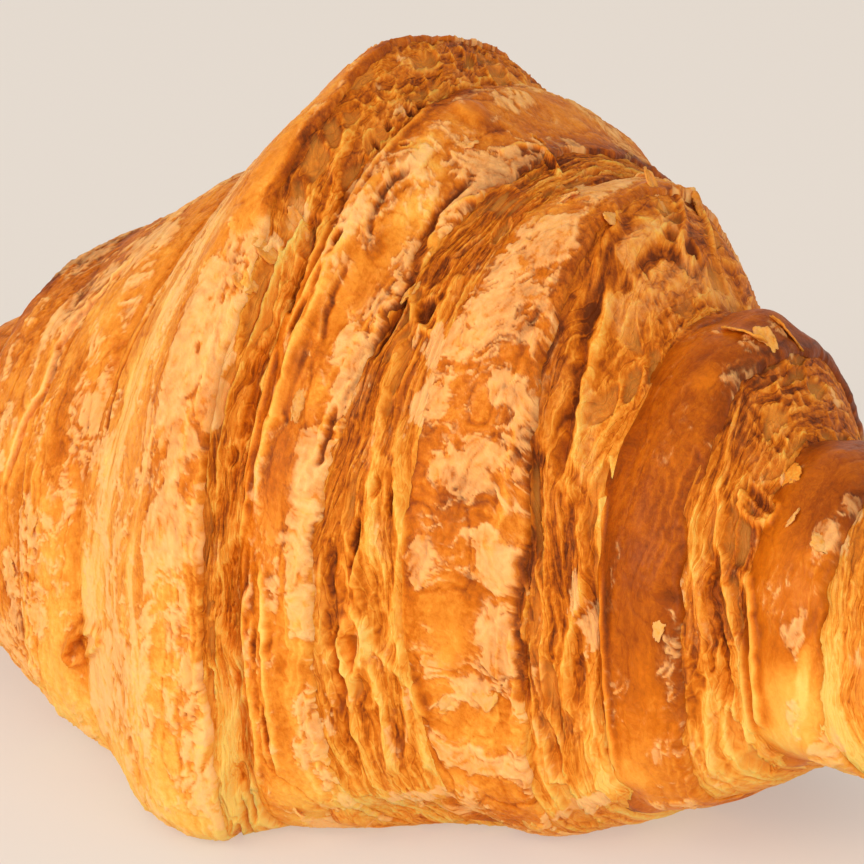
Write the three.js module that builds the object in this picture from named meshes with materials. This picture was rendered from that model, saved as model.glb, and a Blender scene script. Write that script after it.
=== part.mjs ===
// Butter croissant: one rolled, baked body lying along X on a flat base.
// Sizes in millimetres, +Z up, the front of the roll towards -Y, the base face at z = 0.
import * as THREE from 'three';

// Tips of the roll along its axis, and how each one closes.
const LEFT_TIP = -70;
const RIGHT_TIP = 69;
const TIP_ROUNDING = 9;

// The axis bends a little: both tips lie nearer the front than the middle does.
const AXIS_BEND = -0.0024;

// Outline of the roll measured over its crests, at places along the axis.
// top: height of the crest. half: half the width. under: height of the underside,
// where a value below zero is a part that has settled flat on the baking tray.
// corner: squareness of the lower half, where 1 is an ellipse and less is boxier.
const SECTIONS = [
  { at: -70, top: 20.8, half: 5.8, under: 12.0, corner: 0.85 },
  { at: -59, top: 25.8, half: 11.0, under: 9.0, corner: 0.8 },
  { at: -47.5, top: 30.4, half: 16.2, under: 5.4, corner: 0.7 },
  { at: -37, top: 39.2, half: 21.6, under: 2.0, corner: 0.6 },
  { at: -26.5, top: 46.0, half: 26.4, under: -2.4, corner: 0.56 },
  { at: -17, top: 53.4, half: 31.0, under: -6.2, corner: 0.54 },
  { at: -9.5, top: 60.2, half: 35.8, under: -8.0, corner: 0.52 },
  { at: -3, top: 64.8, half: 38.0, under: -8.0, corner: 0.53 },
  { at: 2, top: 62.4, half: 37.2, under: -6.6, corner: 0.57 },
  { at: 8.5, top: 57.2, half: 34.2, under: -4.6, corner: 0.64 },
  { at: 15, top: 55.6, half: 29.6, under: -3.8, corner: 0.68 },
  { at: 22, top: 53.8, half: 24.6, under: -3.4, corner: 0.66 },
  { at: 27.5, top: 47.8, half: 21.8, under: -1.4, corner: 0.64 },
  { at: 33.5, top: 44.8, half: 19.2, under: 1.8, corner: 0.62 },
  { at: 40, top: 39.8, half: 16.2, under: 5.6, corner: 0.64 },
  { at: 46.5, top: 36.2, half: 14.0, under: 8.8, corner: 0.7 },
  { at: 57, top: 30.0, half: 10.6, under: 11.4, corner: 0.8 },
  { at: 69, top: 22.6, half: 6.0, under: 13.0, corner: 0.85 },
];

// Height of the section's middle between underside and top.
const MIDDLE_HEIGHT = 0.46;

// Squareness of the upper half of every section.
const ROUND_ABOVE = 0.99;

// Lines that run round the roll. A crease is where the next wrap comes out from
// under the one before it, an edge is where a wrap's smooth skin ends and its cut
// layers begin. at: place at the front. top and low: how far the line shifts along
// the axis over the top and underneath. depth: how far the crease lies below the crests.
const LINES = [
  { kind: 'tip', at: LEFT_TIP, top: 0, low: 0, depth: 0 },
  { kind: 'crease', at: -62.6, top: 1.8, low: 0.6, depth: 1.4 },
  { kind: 'edge', at: -60, top: 2.0, low: 0.8, depth: 0 },
  { kind: 'crease', at: -54.5, top: 3.0, low: 1.0, depth: 2.8 },
  { kind: 'edge', at: -50.5, top: 3.3, low: 1.0, depth: 0 },
  { kind: 'crease', at: -45, top: 3.5, low: 1.5, depth: 2.8 },
  { kind: 'edge', at: -41, top: 3.4, low: 1.5, depth: 0 },
  { kind: 'crease', at: -29.8, top: 4.6, low: 1.8, depth: 0.6 },
  { kind: 'crease', at: -21.1, top: 4.5, low: 4.3, depth: 2.2 },
  { kind: 'edge', at: -15, top: 3.0, low: 3.0, depth: 0 },
  { kind: 'edge', at: 1.1, top: -5.6, low: -3.2, depth: 0 },
  { kind: 'crease', at: 5.2, top: -4.9, low: -0.6, depth: 4.2 },
  { kind: 'edge', at: 12.6, top: -2.4, low: 1.8, depth: 0 },
  { kind: 'crease', at: 16.6, top: -2.6, low: 3.9, depth: 1.8 },
  { kind: 'edge', at: 26, top: -6.0, low: -0.6, depth: 0 },
  { kind: 'crease', at: 31.1, top: -3.6, low: 2.6, depth: 3.0 },
  { kind: 'edge', at: 38.8, top: -3.9, low: 0, depth: 0 },
  { kind: 'crease', at: 42.7, top: -2.4, low: 3.6, depth: 3.2 },
  { kind: 'edge', at: 50.9, top: -3.3, low: 2.6, depth: 0 },
  { kind: 'crease', at: 55, top: -3.0, low: 2.0, depth: 3.0 },
  { kind: 'edge', at: 59.6, top: -2.2, low: 1.4, depth: 0 },
  { kind: 'crease', at: 62.2, top: -1.8, low: 1.0, depth: 1.4 },
  { kind: 'tip', at: RIGHT_TIP, top: 0, low: 0, depth: 0 },
];

// How much further a line has shifted on the upper back than over the top.
const BACK_SHIFT = 1.45;

// How much shallower the creases are underneath.
const CREASE_FADE = 0.62;

// Radius over which the sides turn into the flat underside.
const BASE_ROUNDING = 3.2;

// Spacing of the mesh rows along the roll on smooth skin and across cut layers.
const SKIN_ROW = 1.85;
const LAYER_ROW = 0.8;
const AROUND = 56;

// Relief: wander of the lines, lumps of the skin, lifted flakes, and ridges of the cut layers.
const LINE_WANDER = 0.55;
const LUMP = 0.5;
const FLAKE_STEP = 0.6;
const FLAKE_SHARE = 0.38;
const LAYER_RIDGE = 0.8;

const DEGREE = Math.PI / 180;

function clamp(value, low, high) {
  return Math.min(Math.max(value, low), high);
}

function mix(a, b, t) {
  return a + (b - a) * t;
}

function smooth(t) {
  const c = clamp(t, 0, 1);
  return c * c * (3 - 2 * c);
}

// One cubic piece from value a to value b over a span, with the given end slopes.
function cubic(a, b, slopeA, slopeB, span, t) {
  const t2 = t * t;
  const t3 = t2 * t;
  return (2 * t3 - 3 * t2 + 1) * a
    + (t3 - 2 * t2 + t) * span * slopeA
    + (3 * t2 - 2 * t3) * b
    + (t3 - t2) * span * slopeB;
}

// Slope of a curve through the sections that never overshoots between two of them.
function sectionSlope(i, key) {
  const last = SECTIONS.length - 1;
  const rise = (k) => (SECTIONS[k + 1][key] - SECTIONS[k][key]) / (SECTIONS[k + 1].at - SECTIONS[k].at);
  if (i === 0) {
    return rise(0);
  }
  if (i === last) {
    return rise(last - 1);
  }
  const before = rise(i - 1);
  const after = rise(i);
  if (before * after <= 0) {
    return 0;
  }
  return (2 * before * after) / (before + after);
}

function sectionValue(s, key) {
  const last = SECTIONS.length - 1;
  const c = clamp(s, SECTIONS[0].at, SECTIONS[last].at);
  let i = 0;
  while (i < last - 1 && c > SECTIONS[i + 1].at) {
    i += 1;
  }
  const span = SECTIONS[i + 1].at - SECTIONS[i].at;
  const t = (c - SECTIONS[i].at) / span;
  return cubic(SECTIONS[i][key], SECTIONS[i + 1][key], sectionSlope(i, key), sectionSlope(i + 1, key), span, t);
}

// Shift of a line along the axis at an angle: 0 degrees is the top, 90 the front, 180 underneath.
function lineShift(line, degrees) {
  const turn = ((degrees + 60) % 360 + 360) % 360 - 60;
  if (turn < 0) {
    return line.top * cubic(BACK_SHIFT, 1, -0.004, -0.011, 60, (turn + 60) / 60);
  }
  if (turn < 90) {
    const low = cubic(0, 0, 0, 0.004, 90, turn / 90);
    return line.top * cubic(1, 0, -0.011, -0.006, 90, turn / 90) + line.low * low;
  }
  if (turn < 180) {
    const top = cubic(0, 0, -0.006, 0, 90, (turn - 90) / 90);
    return line.top * top + line.low * cubic(0, 1, 0.004, 0.004, 90, (turn - 90) / 90);
  }
  const t = (turn - 180) / 120;
  return line.top * cubic(0, BACK_SHIFT, 0, -0.004, 120, t) + line.low * cubic(1, 0, 0.004, 0, 120, t);
}

// Repeatable draw between 0 and 1 for a cell of a grid.
function draw(i, j, seed) {
  let h = Math.imul(i + 4096, 374761393) ^ Math.imul(j + 4096, 668265263) ^ Math.imul(seed, 982451653);
  h = Math.imul(h ^ (h >>> 13), 1274126177);
  h ^= h >>> 16;
  return (h >>> 0) / 4294967296;
}

// Smooth unevenness between -1 and 1. The second direction runs round and closes on itself.
function uneven(x, around, cells, seed) {
  const y = around * cells;
  const i = Math.floor(x);
  const j = Math.floor(y);
  const u = smooth(x - i);
  const v = smooth(y - j);
  const at = (a, b) => draw(i + a, (j + b + cells) % cells, seed);
  return 2 * mix(mix(at(0, 0), at(1, 0), u), mix(at(0, 1), at(1, 1), u), v) - 1;
}

// Place of a line along the axis at an angle, with its own small wander.
function linePlace(line, degrees, around) {
  const seed = Math.round(line.at * 10) + 1000;
  const wander = line.kind === 'tip' ? 0 : uneven(0.5, around, 15, seed) + 0.6 * uneven(0.5, around, 37, seed);
  return line.at + lineShift(line, degrees) + LINE_WANDER * wander;
}

// Largest of a height and zero, with the corner between them rounded.
function restOnBase(height) {
  const near = Math.max(BASE_ROUNDING - Math.abs(height), 0);
  return Math.max(height, 0) + (near * near) / (4 * BASE_ROUNDING);
}

// Lift of a torn flake: whole patches of crust stand a step above their neighbours.
function flakeLift(s, around, radius) {
  const cells = Math.max(3, Math.round((2 * Math.PI * radius) / 11));
  const wander = 0.9 * uneven(s / 4.5, around, cells * 2, 31);
  const patch = draw(Math.floor(s / 5.5 + wander), Math.floor(around * cells + 0.8 * wander) % cells, 17);
  return patch < FLAKE_SHARE ? FLAKE_STEP * (0.5 + patch / FLAKE_SHARE) : 0;
}

// Depth below the crests and the kind of surface between two neighbouring lines.
function zoneBetween(a, b, t) {
  const cutLayers = (a.kind === 'edge' && b.kind === 'crease' && a.at > 0)
    || (a.kind === 'crease' && b.kind === 'edge' && b.at < 0);
  if (cutLayers) {
    const fall = a.kind === 'edge' ? b.depth * t : a.depth * (1 - t);
    return { depth: fall, layers: Math.sin(Math.PI * t) };
  }
  const fromA = a.kind === 'crease' ? a.depth * (1 - t) ** 2.2 : 0;
  const fromB = b.kind === 'crease' ? b.depth * t ** 2.2 : 0;
  return { depth: fromA + fromB, layers: 0 };
}

// Rows of the mesh: which two lines a row lies between, and how far along.
function buildRows() {
  const rows = [];
  for (let i = 0; i + 1 < LINES.length; i += 1) {
    const a = LINES[i];
    const b = LINES[i + 1];
    const step = zoneBetween(a, b, 0.5).layers > 0 ? LAYER_ROW : SKIN_ROW;
    const count = Math.max(3, Math.round((b.at - a.at) / step));
    for (let k = 0; k < count; k += 1) {
      let t = k / count;
      if (a.kind === 'tip') {
        t = 1 - Math.cos((t * Math.PI) / 2);
      }
      if (b.kind === 'tip') {
        t = Math.sin((t * Math.PI) / 2);
      }
      rows.push({ a, b, t, index: k, count });
    }
  }
  const last = LINES.length - 1;
  rows.push({ a: LINES[last - 1], b: LINES[last], t: 1, index: 0, count: 1 });
  return rows;
}

// Rounding of the tips: 0 at the very end, 1 once the roll has its full section.
function tipShare(s) {
  const reach = Math.min(s - LEFT_TIP, RIGHT_TIP - s);
  const u = clamp(1 - reach / TIP_ROUNDING, 0, 1);
  return Math.sqrt(Math.max(0, 1 - u * u));
}

// Point of the surface for a row and an angle round the roll.
function surfacePoint(row, degrees) {
  const angle = degrees * DEGREE;
  const around = ((degrees / 360) % 1 + 1) % 1;
  const s = mix(linePlace(row.a, degrees, around), linePlace(row.b, degrees, around), row.t);
  const share = tipShare(s);
  const top = sectionValue(s, 'top');
  const under = sectionValue(s, 'under');
  const half = sectionValue(s, 'half');
  const middle = mix(under, top, MIDDLE_HEIGHT);
  const zone = zoneBetween(row.a, row.b, row.t);
  const up = Math.cos(angle);
  const out = Math.sin(angle);
  const settled = clamp((-up - 0.2) / 0.7, 0, 1);

  let depth = zone.depth * (1 - CREASE_FADE * settled);
  const relief = share * (1 - 0.7 * settled);
  const size = clamp(half / 20, 0.3, 1);
  if (zone.layers > 0) {
    const side = row.index % 2 === 0 ? 0.45 : -0.45;
    const strand = side + uneven(row.index * 0.9 + row.a.at, around, 13, 7);
    depth += LAYER_RIDGE * size * strand * Math.sqrt(zone.layers) * relief;
  } else {
    depth -= flakeLift(s, around, half) * size * relief * smooth(3 * row.t) * smooth(3 * (1 - row.t));
  }
  depth -= LUMP * size * uneven(s / 7, around, 14, 3) * relief;
  depth -= 0.5 * LUMP * size * uneven(s / 3.2, around, 28, 5) * relief;

  const above = Math.max(top - middle - depth, 0.3) * share;
  const below = Math.max(middle - under - depth, 0.3) * share;
  const wide = Math.max(half - depth, 0.3) * share;
  const squareness = up > 0 ? ROUND_ABOVE : sectionValue(s, 'corner');
  const sideways = -wide * Math.sign(out) * Math.abs(out) ** squareness;
  const height = middle + (up > 0 ? above : below) * Math.sign(up) * Math.abs(up) ** squareness;

  const bend = AXIS_BEND * s;
  return new THREE.Vector3(
    Math.sin(bend) / AXIS_BEND - Math.sin(bend) * sideways,
    (1 - Math.cos(bend)) / AXIS_BEND + Math.cos(bend) * sideways,
    restOnBase(height),
  );
}

// A lathed spindle gives the closed mesh; every one of its points is then moved to the roll's surface.
function rollGeometry() {
  const rows = buildRows();
  const last = rows.length - 1;
  const profile = rows.map((row, i) => new THREE.Vector2(i === 0 || i === last ? 0 : 1, i));
  const geometry = new THREE.LatheGeometry(profile, AROUND);
  const position = geometry.attributes.position;
  for (let k = 0; k < position.count; k += 1) {
    const rowIndex = Math.round(position.getY(k));
    const column = Math.floor(k / rows.length) % AROUND;
    const degrees = rowIndex === 0 || rowIndex === last ? 0 : (360 * column) / AROUND;
    const point = surfacePoint(rows[rowIndex], degrees);
    position.setXYZ(k, point.x, point.y, point.z);
  }
  geometry.deleteAttribute('uv');
  geometry.deleteAttribute('normal');
  return geometry;
}

// Puts the middle of the bounding box over the origin and the lowest point at z = 0.
function centreOverOrigin(geometry) {
  geometry.computeBoundingBox();
  const box = geometry.boundingBox;
  geometry.translate(-(box.min.x + box.max.x) / 2, -(box.min.y + box.max.y) / 2, -box.min.z);
  return geometry;
}

function buildCroissant() {
  const material = new THREE.MeshStandardMaterial({ color: 0xc98a45, roughness: 0.7, metalness: 0 });
  material.name = 'baked_crust';
  const mesh = new THREE.Mesh(centreOverOrigin(rollGeometry()), material);
  mesh.name = 'croissant';
  return mesh;
}

const part = new THREE.Group();
part.name = 'butter_croissant';
part.add(buildCroissant());

export default part;
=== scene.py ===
import logging
import math
from collections.abc import Iterator
from dataclasses import dataclass, field
from enum import Enum
from functools import partial
from typing import ClassVar

import bpy
import numpy as np
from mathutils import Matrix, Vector


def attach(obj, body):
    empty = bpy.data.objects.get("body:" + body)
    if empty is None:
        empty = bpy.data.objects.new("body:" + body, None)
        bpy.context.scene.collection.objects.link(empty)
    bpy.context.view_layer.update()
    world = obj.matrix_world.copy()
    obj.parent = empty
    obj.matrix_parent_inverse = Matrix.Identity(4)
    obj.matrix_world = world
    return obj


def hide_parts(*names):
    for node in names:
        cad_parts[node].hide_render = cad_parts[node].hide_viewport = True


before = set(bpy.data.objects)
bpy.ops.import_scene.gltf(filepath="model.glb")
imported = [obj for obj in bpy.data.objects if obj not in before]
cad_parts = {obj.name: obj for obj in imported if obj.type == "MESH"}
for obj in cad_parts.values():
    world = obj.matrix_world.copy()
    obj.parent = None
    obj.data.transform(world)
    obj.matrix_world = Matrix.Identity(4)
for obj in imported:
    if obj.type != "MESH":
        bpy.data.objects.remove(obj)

"""Butter croissant: rolled, baked dough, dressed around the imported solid.

Sizes are in millimetres until a mesh is written, which is in metres. The roll lies along X,
its front towards -Y. Angles round the roll are in degrees: 0 the top, 90 the front, 180 underneath.
"""

log = logging.getLogger("croissant")
MM = 0.001
FULL_TURN = 360.0
Array = np.ndarray

CELL_SHIFT, HASH_SEED, HASH_START = 70001, 982451653, 12345
HASH_COLUMN, HASH_ROW = np.uint32(374761393), np.uint32(668265263)
HASH_FIRST, HASH_SECOND = np.uint32(2246822519), np.uint32(3266489917)
MARK_SEED, FOLD_SEED, FLAKE_SEED = 900, 950, 300


class LineKind(Enum):
    """What a line round the roll is."""

    TIP = "tip"
    CREASE = "crease"
    EDGE = "edge"


class Side(Enum):
    """Which way a wrap's cut layers face along the axis."""

    LEFT = -1
    RIGHT = 1


class Trait(Enum):
    """What a mark does to the crust where it lies."""

    PALE_FLAKE = "pale flake"
    SMOOTH = "smooth"
    BLISTER = "blister"
    PIT = "pit"
    CRUMB = "crumb"
    DARK = "dark"
    YELLOW = "yellow"
    SWELL = "swell"


@dataclass(frozen=True)
class Section:
    """One cross-section of the roll over its crests.

    at is its place along the axis, top, half and under its top, half width and underside in
    millimetres, and corner how its lower half is rounded: 1 is round, less is squarer.
    """

    at: float
    top: float
    half: float
    under: float
    corner: float


@dataclass(frozen=True)
class Line:
    """A line round the roll: its place at the front, its shifts over the top and underneath, its depth."""

    kind: LineKind
    at: float
    top: float = 0.0
    low: float = 0.0
    depth: float = 0.0


def smooth(t: Array) -> Array:
    """Ease from 0 to 1 over t from 0 to 1."""
    c = np.clip(t, 0.0, 1.0)
    return c * c * (3.0 - 2.0 * c)


def ramp(value: Array, start: float, end: float) -> Array:
    """Eased share of the way that value has gone from start to end."""
    return smooth((value - start) / (end - start))


def bell(value: Array, middle: float, wide: float) -> Array:
    """1 where value is at the middle, falling off to both sides."""
    return np.exp(-((value - middle) / wide) ** 2)


def ends(share: Array, reach: float) -> Array:
    """1 along a path, easing to 0 over a share of it at both ends."""
    return ramp(share, 0.0, reach) * ramp(share, 1.0, 1.0 - reach)


def mix(a: Array, b: Array, t: Array) -> Array:
    """Blend of a and b, all b where t is 1."""
    return a + (b - a) * t


def draw(i: Array, j: Array, seed: int) -> Array:
    """Repeatable draws between 0 and 1 for cells of a grid.

    Args:
        i: Column of each cell.
        j: Row of each cell.
        seed: Number of the pattern.

    Returns:
        One draw for each cell.
    """
    with np.errstate(over="ignore"):
        h = (i + CELL_SHIFT).astype(np.uint32) * HASH_COLUMN
        h += (j + CELL_SHIFT).astype(np.uint32) * HASH_ROW
        h += np.uint32((seed * HASH_SEED + HASH_START) & 0xFFFFFFFF)
        for shift, factor in ((15, HASH_FIRST), (13, HASH_SECOND)):
            h ^= h >> np.uint32(shift)
            h *= factor
        h ^= h >> np.uint32(16)
    return h.astype(np.float32) / np.float32(2.0 ** 32)


def wave(x: Array, y: Array, seed: int) -> Array:
    """Smooth unevenness between -1 and 1 on a flat pair of coordinates."""
    x, y = np.broadcast_arrays(x, y)
    fx, fy = np.floor(x), np.floor(y)
    i, j = fx.astype(np.int64), fy.astype(np.int64)
    u, v = smooth(x - fx), smooth(y - fy)
    low = mix(draw(i, j, seed), draw(i + 1, j, seed), u)
    high = mix(draw(i, j + 1, seed), draw(i + 1, j + 1, seed), u)
    return 2.0 * mix(low, high, v) - 1.0


def layered(x: Array, y: Array, seed: int, octaves: int = 4, fall: float = 0.55) -> Array:
    """Sum of waves that halve in size, between about -1 and 1."""
    total, size, most = 0.0, 1.0, 0.0
    for k in range(octaves):
        scale = 2.0 ** k
        total = total + size * wave(x * scale + 17.3 * k, y * scale + 9.1 * k, seed + 31 * k)
        most += size
        size *= fall
    return total / (0.62 * most)


def ridged(x: Array, y: Array, seed: int, sharp: float = 2.5) -> Array:
    """Winding ridges between 0 and 1, the narrower the sharper."""
    return (1.0 - np.abs(wave(x, y, seed))) ** sharp


def cells(x: Array, y: Array, seed: int, scatter: float = 0.9) -> tuple[Array, Array, Array]:
    """Cells round scattered points.

    Args:
        x: First coordinate, one cell to a unit.
        y: Second coordinate, one cell to a unit.
        seed: Number of the pattern.
        scatter: How far the points stray from a grid, 0 to 1.

    Returns:
        The distance to the nearest border, a first and a second draw of the cell.
    """
    x, y = np.broadcast_arrays(x, y)
    fx, fy = np.floor(x), np.floor(y)
    first = np.full(x.shape, 9.0, np.float32)
    second = np.full(x.shape, 9.0, np.float32)
    lot = np.zeros(x.shape, np.float32)
    for a in (-1, 0, 1):
        for b in (-1, 0, 1):
            i, j = (fx + a).astype(np.int64), (fy + b).astype(np.int64)
            px = fx + a + 0.5 + scatter * (draw(i, j, seed) - 0.5)
            py = fy + b + 0.5 + scatter * (draw(i, j, seed + 5) - 0.5)
            gap = np.hypot(px - x, py - y).astype(np.float32)
            nearer = gap < first
            second = np.where(nearer, first, np.minimum(second, gap))
            lot = np.where(nearer, draw(i, j, seed + 11), lot)
            first = np.where(nearer, gap, first)
    return second - first, lot, np.mod(lot * 7.31 + 0.17, 1.0)


def soften(values: Array, reach: int) -> Array:
    """Values averaged over a few rows and columns, twice.

    Args:
        values: Rows by columns of numbers.
        reach: How many neighbours on each side are taken in.

    Returns:
        The softened numbers.
    """
    for _ in range(2):
        for axis in (0, 1):
            width = [(0, 0), (0, 0)]
            width[axis] = (reach + 1, reach)
            total = np.cumsum(np.pad(values, width, mode="edge"), axis=axis, dtype=np.float64)
            count, size = values.shape[axis], 2 * reach + 1
            upper = np.take(total, range(size, size + count), axis=axis)
            values = (upper - np.take(total, range(count), axis=axis)) / size
    return values


def cubic(a: float, b: float, slope_a: float, slope_b: float, span: float, t: Array) -> Array:
    """One cubic piece from value a to value b over a span, with the given end slopes."""
    t2, t3 = t * t, t * t * t
    rise = (2 * t3 - 3 * t2 + 1) * a + (3 * t2 - 2 * t3) * b
    return rise + (t3 - 2 * t2 + t) * span * slope_a + (t3 - t2) * span * slope_b


def roll_sections() -> tuple[Section, ...]:
    """The cross-sections from the left tip to the right one."""
    return (
        Section(-70, 20.8, 5.8, 12.0, 0.85), Section(-59, 25.8, 11.0, 9.0, 0.8),
        Section(-47.5, 30.4, 16.2, 5.4, 0.7), Section(-37, 39.2, 21.6, 2.0, 0.6),
        Section(-26.5, 46.0, 26.4, -2.4, 0.56), Section(-17, 53.4, 31.0, -6.2, 0.54),
        Section(-9.5, 60.2, 35.8, -8.0, 0.52), Section(-3, 64.8, 38.0, -8.0, 0.53),
        Section(2, 62.4, 37.2, -6.6, 0.57), Section(8.5, 57.2, 34.2, -4.6, 0.64),
        Section(15, 55.6, 29.6, -3.8, 0.68), Section(22, 53.8, 24.6, -3.4, 0.66),
        Section(27.5, 47.8, 21.8, -1.4, 0.64), Section(33.5, 44.8, 19.2, 1.8, 0.62),
        Section(40, 39.8, 16.2, 5.6, 0.64), Section(46.5, 36.2, 14.0, 8.8, 0.7),
        Section(57, 30.0, 10.6, 11.4, 0.8), Section(69, 22.6, 6.0, 13.0, 0.85),
    )


def roll_lines() -> dict[str, Line]:
    """The lines round the roll by name, from the left tip to the right one."""
    crease, edge = LineKind.CREASE, LineKind.EDGE
    return {
        "left_tip": Line(LineKind.TIP, -70),
        "crease_l5": Line(crease, -62.6, 1.8, 0.6, 1.4),
        "edge_l5": Line(edge, -60, 2.0, 0.8),
        "crease_l4": Line(crease, -54.5, 3.0, 1.0, 2.8),
        "edge_l4": Line(edge, -50.5, 3.3, 1.0),
        "crease_l3": Line(crease, -45, 3.5, 1.5, 2.8),
        "edge_l3": Line(edge, -41, 3.4, 1.5),
        "crease_l2": Line(crease, -29.8, 4.6, 1.8, 0.6),
        "crease_l1": Line(crease, -21.1, 4.5, 4.3, 2.2),
        "edge_a": Line(edge, 1.1, -5.1, -3.2),
        "crease_ab": Line(crease, 2.9, -2.6, 0.0, 3.6),
        "edge_b": Line(edge, 10.5, -0.3, 2.6),
        "crease_bc": Line(crease, 16.6, -2.6, 3.9, 1.8),
        "edge_c": Line(edge, 26, -6.0, -0.6),
        "crease_cd": Line(crease, 31.1, -3.6, 2.6, 3.0),
        "edge_d": Line(edge, 38.8, -3.9, 0.0),
        "crease_de": Line(crease, 42.7, -2.4, 3.6, 3.2),
        "edge_e": Line(edge, 50.9, -3.3, 2.6),
        "crease_ef": Line(crease, 55, -3.0, 2.0, 3.0),
        "edge_f": Line(edge, 59.6, -2.2, 1.4),
        "crease_fg": Line(crease, 62.2, -1.8, 1.0, 1.4),
        "right_tip": Line(LineKind.TIP, 69),
    }


@dataclass
class RolledForm:
    """The roll's own shape: where a point at a place along the axis, an angle and a depth lies.

    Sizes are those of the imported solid.
    """

    sections: tuple[Section, ...] = field(default_factory=roll_sections)
    lines: dict[str, Line] = field(default_factory=roll_lines)
    left_tip: float = -70.0
    right_tip: float = 69.0
    tip_rounding: float = 9.0
    axis_bend: float = -0.0024
    middle_height: float = 0.46
    round_above: float = 0.99
    back_shift: float = 1.45
    crease_fade: float = 0.62
    base_rounding: float = 3.2
    line_wander: float = 0.42
    least: float = 0.3
    centring: tuple[float, float] = (0.49, 0.1)

    def section(self, s: Array, key: str) -> Array:
        """Value of one size of the sections at places along the axis, with no overshoot.

        Args:
            s: Places along the axis.
            key: Name of the size.

        Returns:
            The size at each place.
        """
        at = np.array([c.at for c in self.sections])
        value = np.array([getattr(c, key) for c in self.sections])
        rise = np.diff(value) / np.diff(at)
        slope = np.concatenate([rise[:1], np.zeros(len(at) - 2), rise[-1:]])
        same = rise[:-1] * rise[1:] > 0
        total = np.where(same, rise[:-1] + rise[1:], 1.0)
        slope[1:-1] = np.where(same, 2 * rise[:-1] * rise[1:] / total, 0.0)
        c = np.clip(s, at[0], at[-1])
        i = np.clip(np.searchsorted(at, c, side="right") - 1, 0, len(at) - 2)
        span = at[i + 1] - at[i]
        return cubic(value[i], value[i + 1], slope[i], slope[i + 1], span, (c - at[i]) / span)

    def shift(self, line: Line, degrees: Array) -> Array:
        """Shift of a line along the axis at angles round the roll."""
        turn = (degrees + 60.0) % FULL_TURN - 60.0
        # one cubic piece each for behind the crest, the front, the underside and the rest of the back
        back = line.top * cubic(self.back_shift, 1, -0.004, -0.011, 60, (turn + 60) / 60)
        front = line.top * cubic(1, 0, -0.011, -0.006, 90, turn / 90)
        front = front + line.low * cubic(0, 0, 0, 0.004, 90, turn / 90)
        under = line.top * cubic(0, 0, -0.006, 0, 90, turn / 90 - 1)
        under = under + line.low * cubic(0, 1, 0.004, 0.004, 90, turn / 90 - 1)
        t = (turn - 180) / 120
        behind = line.top * cubic(0, self.back_shift, 0, -0.004, 120, t)
        behind = behind + line.low * cubic(1, 0, 0.004, 0, 120, t)
        return np.where(turn < 0, back, np.where(turn < 90, front, np.where(turn < 180, under, behind)))

    def place(self, name: str, degrees: Array) -> Array:
        """Place of a line along the axis at angles, with its own small wander."""
        line = self.lines[name]
        if line.kind is LineKind.TIP:
            return np.full(np.shape(degrees), line.at)
        seed = int(round(line.at * 10)) + 1000
        turn = np.minimum((degrees + 180.0) % FULL_TURN, FULL_TURN - 0.001)
        near_seam = ramp(turn, 0, 12) * ramp(FULL_TURN - turn, 0, 12)
        wander = wave(turn / 21.0, seed * 0.37, seed) + 0.5 * wave(turn / 8.0, seed * 0.11, seed + 3)
        return line.at + self.shift(line, degrees) + self.line_wander * wander * near_seam

    def tip_share(self, s: Array) -> Array:
        """Rounding of the tips: 0 at the very end, 1 once the roll has its full section."""
        reach = np.minimum(s - self.left_tip, self.right_tip - s)
        u = np.clip(1 - reach / self.tip_rounding, 0, 1)
        return np.sqrt(np.maximum(0, 1 - u * u))

    def settled(self, degrees: Array) -> Array:
        """How far the roll has sunk flat at an angle: 0 above, 1 underneath."""
        return np.clip((-np.cos(np.radians(degrees)) - 0.2) / 0.7, 0, 1)

    def point(self, s: Array, degrees: Array, depth: Array = 0.0, shrink: Array = 1.0,
              lift: Array = 0.0) -> Array:
        """Points of the roll.

        Args:
            s: Places along the axis.
            degrees: Angles round the roll.
            depth: How far below the crests.
            shrink: Share of the section's size that is kept, 0 on the axis itself.
            lift: How far the underside stands clear of the base.

        Returns:
            An array of points in millimetres.
        """
        up, out = np.cos(np.radians(degrees)), np.sin(np.radians(degrees))
        top, half = self.section(s, "top"), self.section(s, "half")
        under, corner = self.section(s, "under"), self.section(s, "corner")
        share = self.tip_share(s) * shrink
        middle = mix(under, top, self.middle_height)
        above, below, wide = (np.maximum(size - depth, self.least) * share
                              for size in (top - middle, middle - under, half))
        squareness = np.where(up > 0, self.round_above, corner)
        sideways = -wide * np.sign(out) * np.abs(out) ** squareness
        height = middle + np.where(up > 0, above, below) * np.sign(up) * np.abs(up) ** squareness - lift
        near = np.maximum(self.base_rounding - np.abs(height), 0)
        height = np.maximum(height, 0) + near * near / (4 * self.base_rounding) + lift
        bend = self.axis_bend * s
        x = np.sin(bend) / self.axis_bend - np.sin(bend) * sideways + self.centring[0]
        y = (1 - np.cos(bend)) / self.axis_bend + np.cos(bend) * sideways + self.centring[1]
        return np.stack([x, y, height], axis=-1)


class Stroke(Enum):
    """What a fold does to the crust along its path."""

    STRAND = "strand"
    GROOVE = "groove"
    STREAK = "streak"
    STEP = "step"
    BROWN = "brown"
    TAN = "tan"
    CURL = "curl"
    CREAM = "cream"


@dataclass(frozen=True)
class Mark:
    """A patch of the crust with a trait of its own.

    x and y give its middle in the photograph's frame, long its half length round the roll and
    wide its half width along the axis in millimetres, turned by tilt degrees, amount its strength.
    """

    trait: Trait
    long: float
    wide: float
    x: float
    y: float
    tilt: float = 0.0
    amount: float = 1.0


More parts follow.
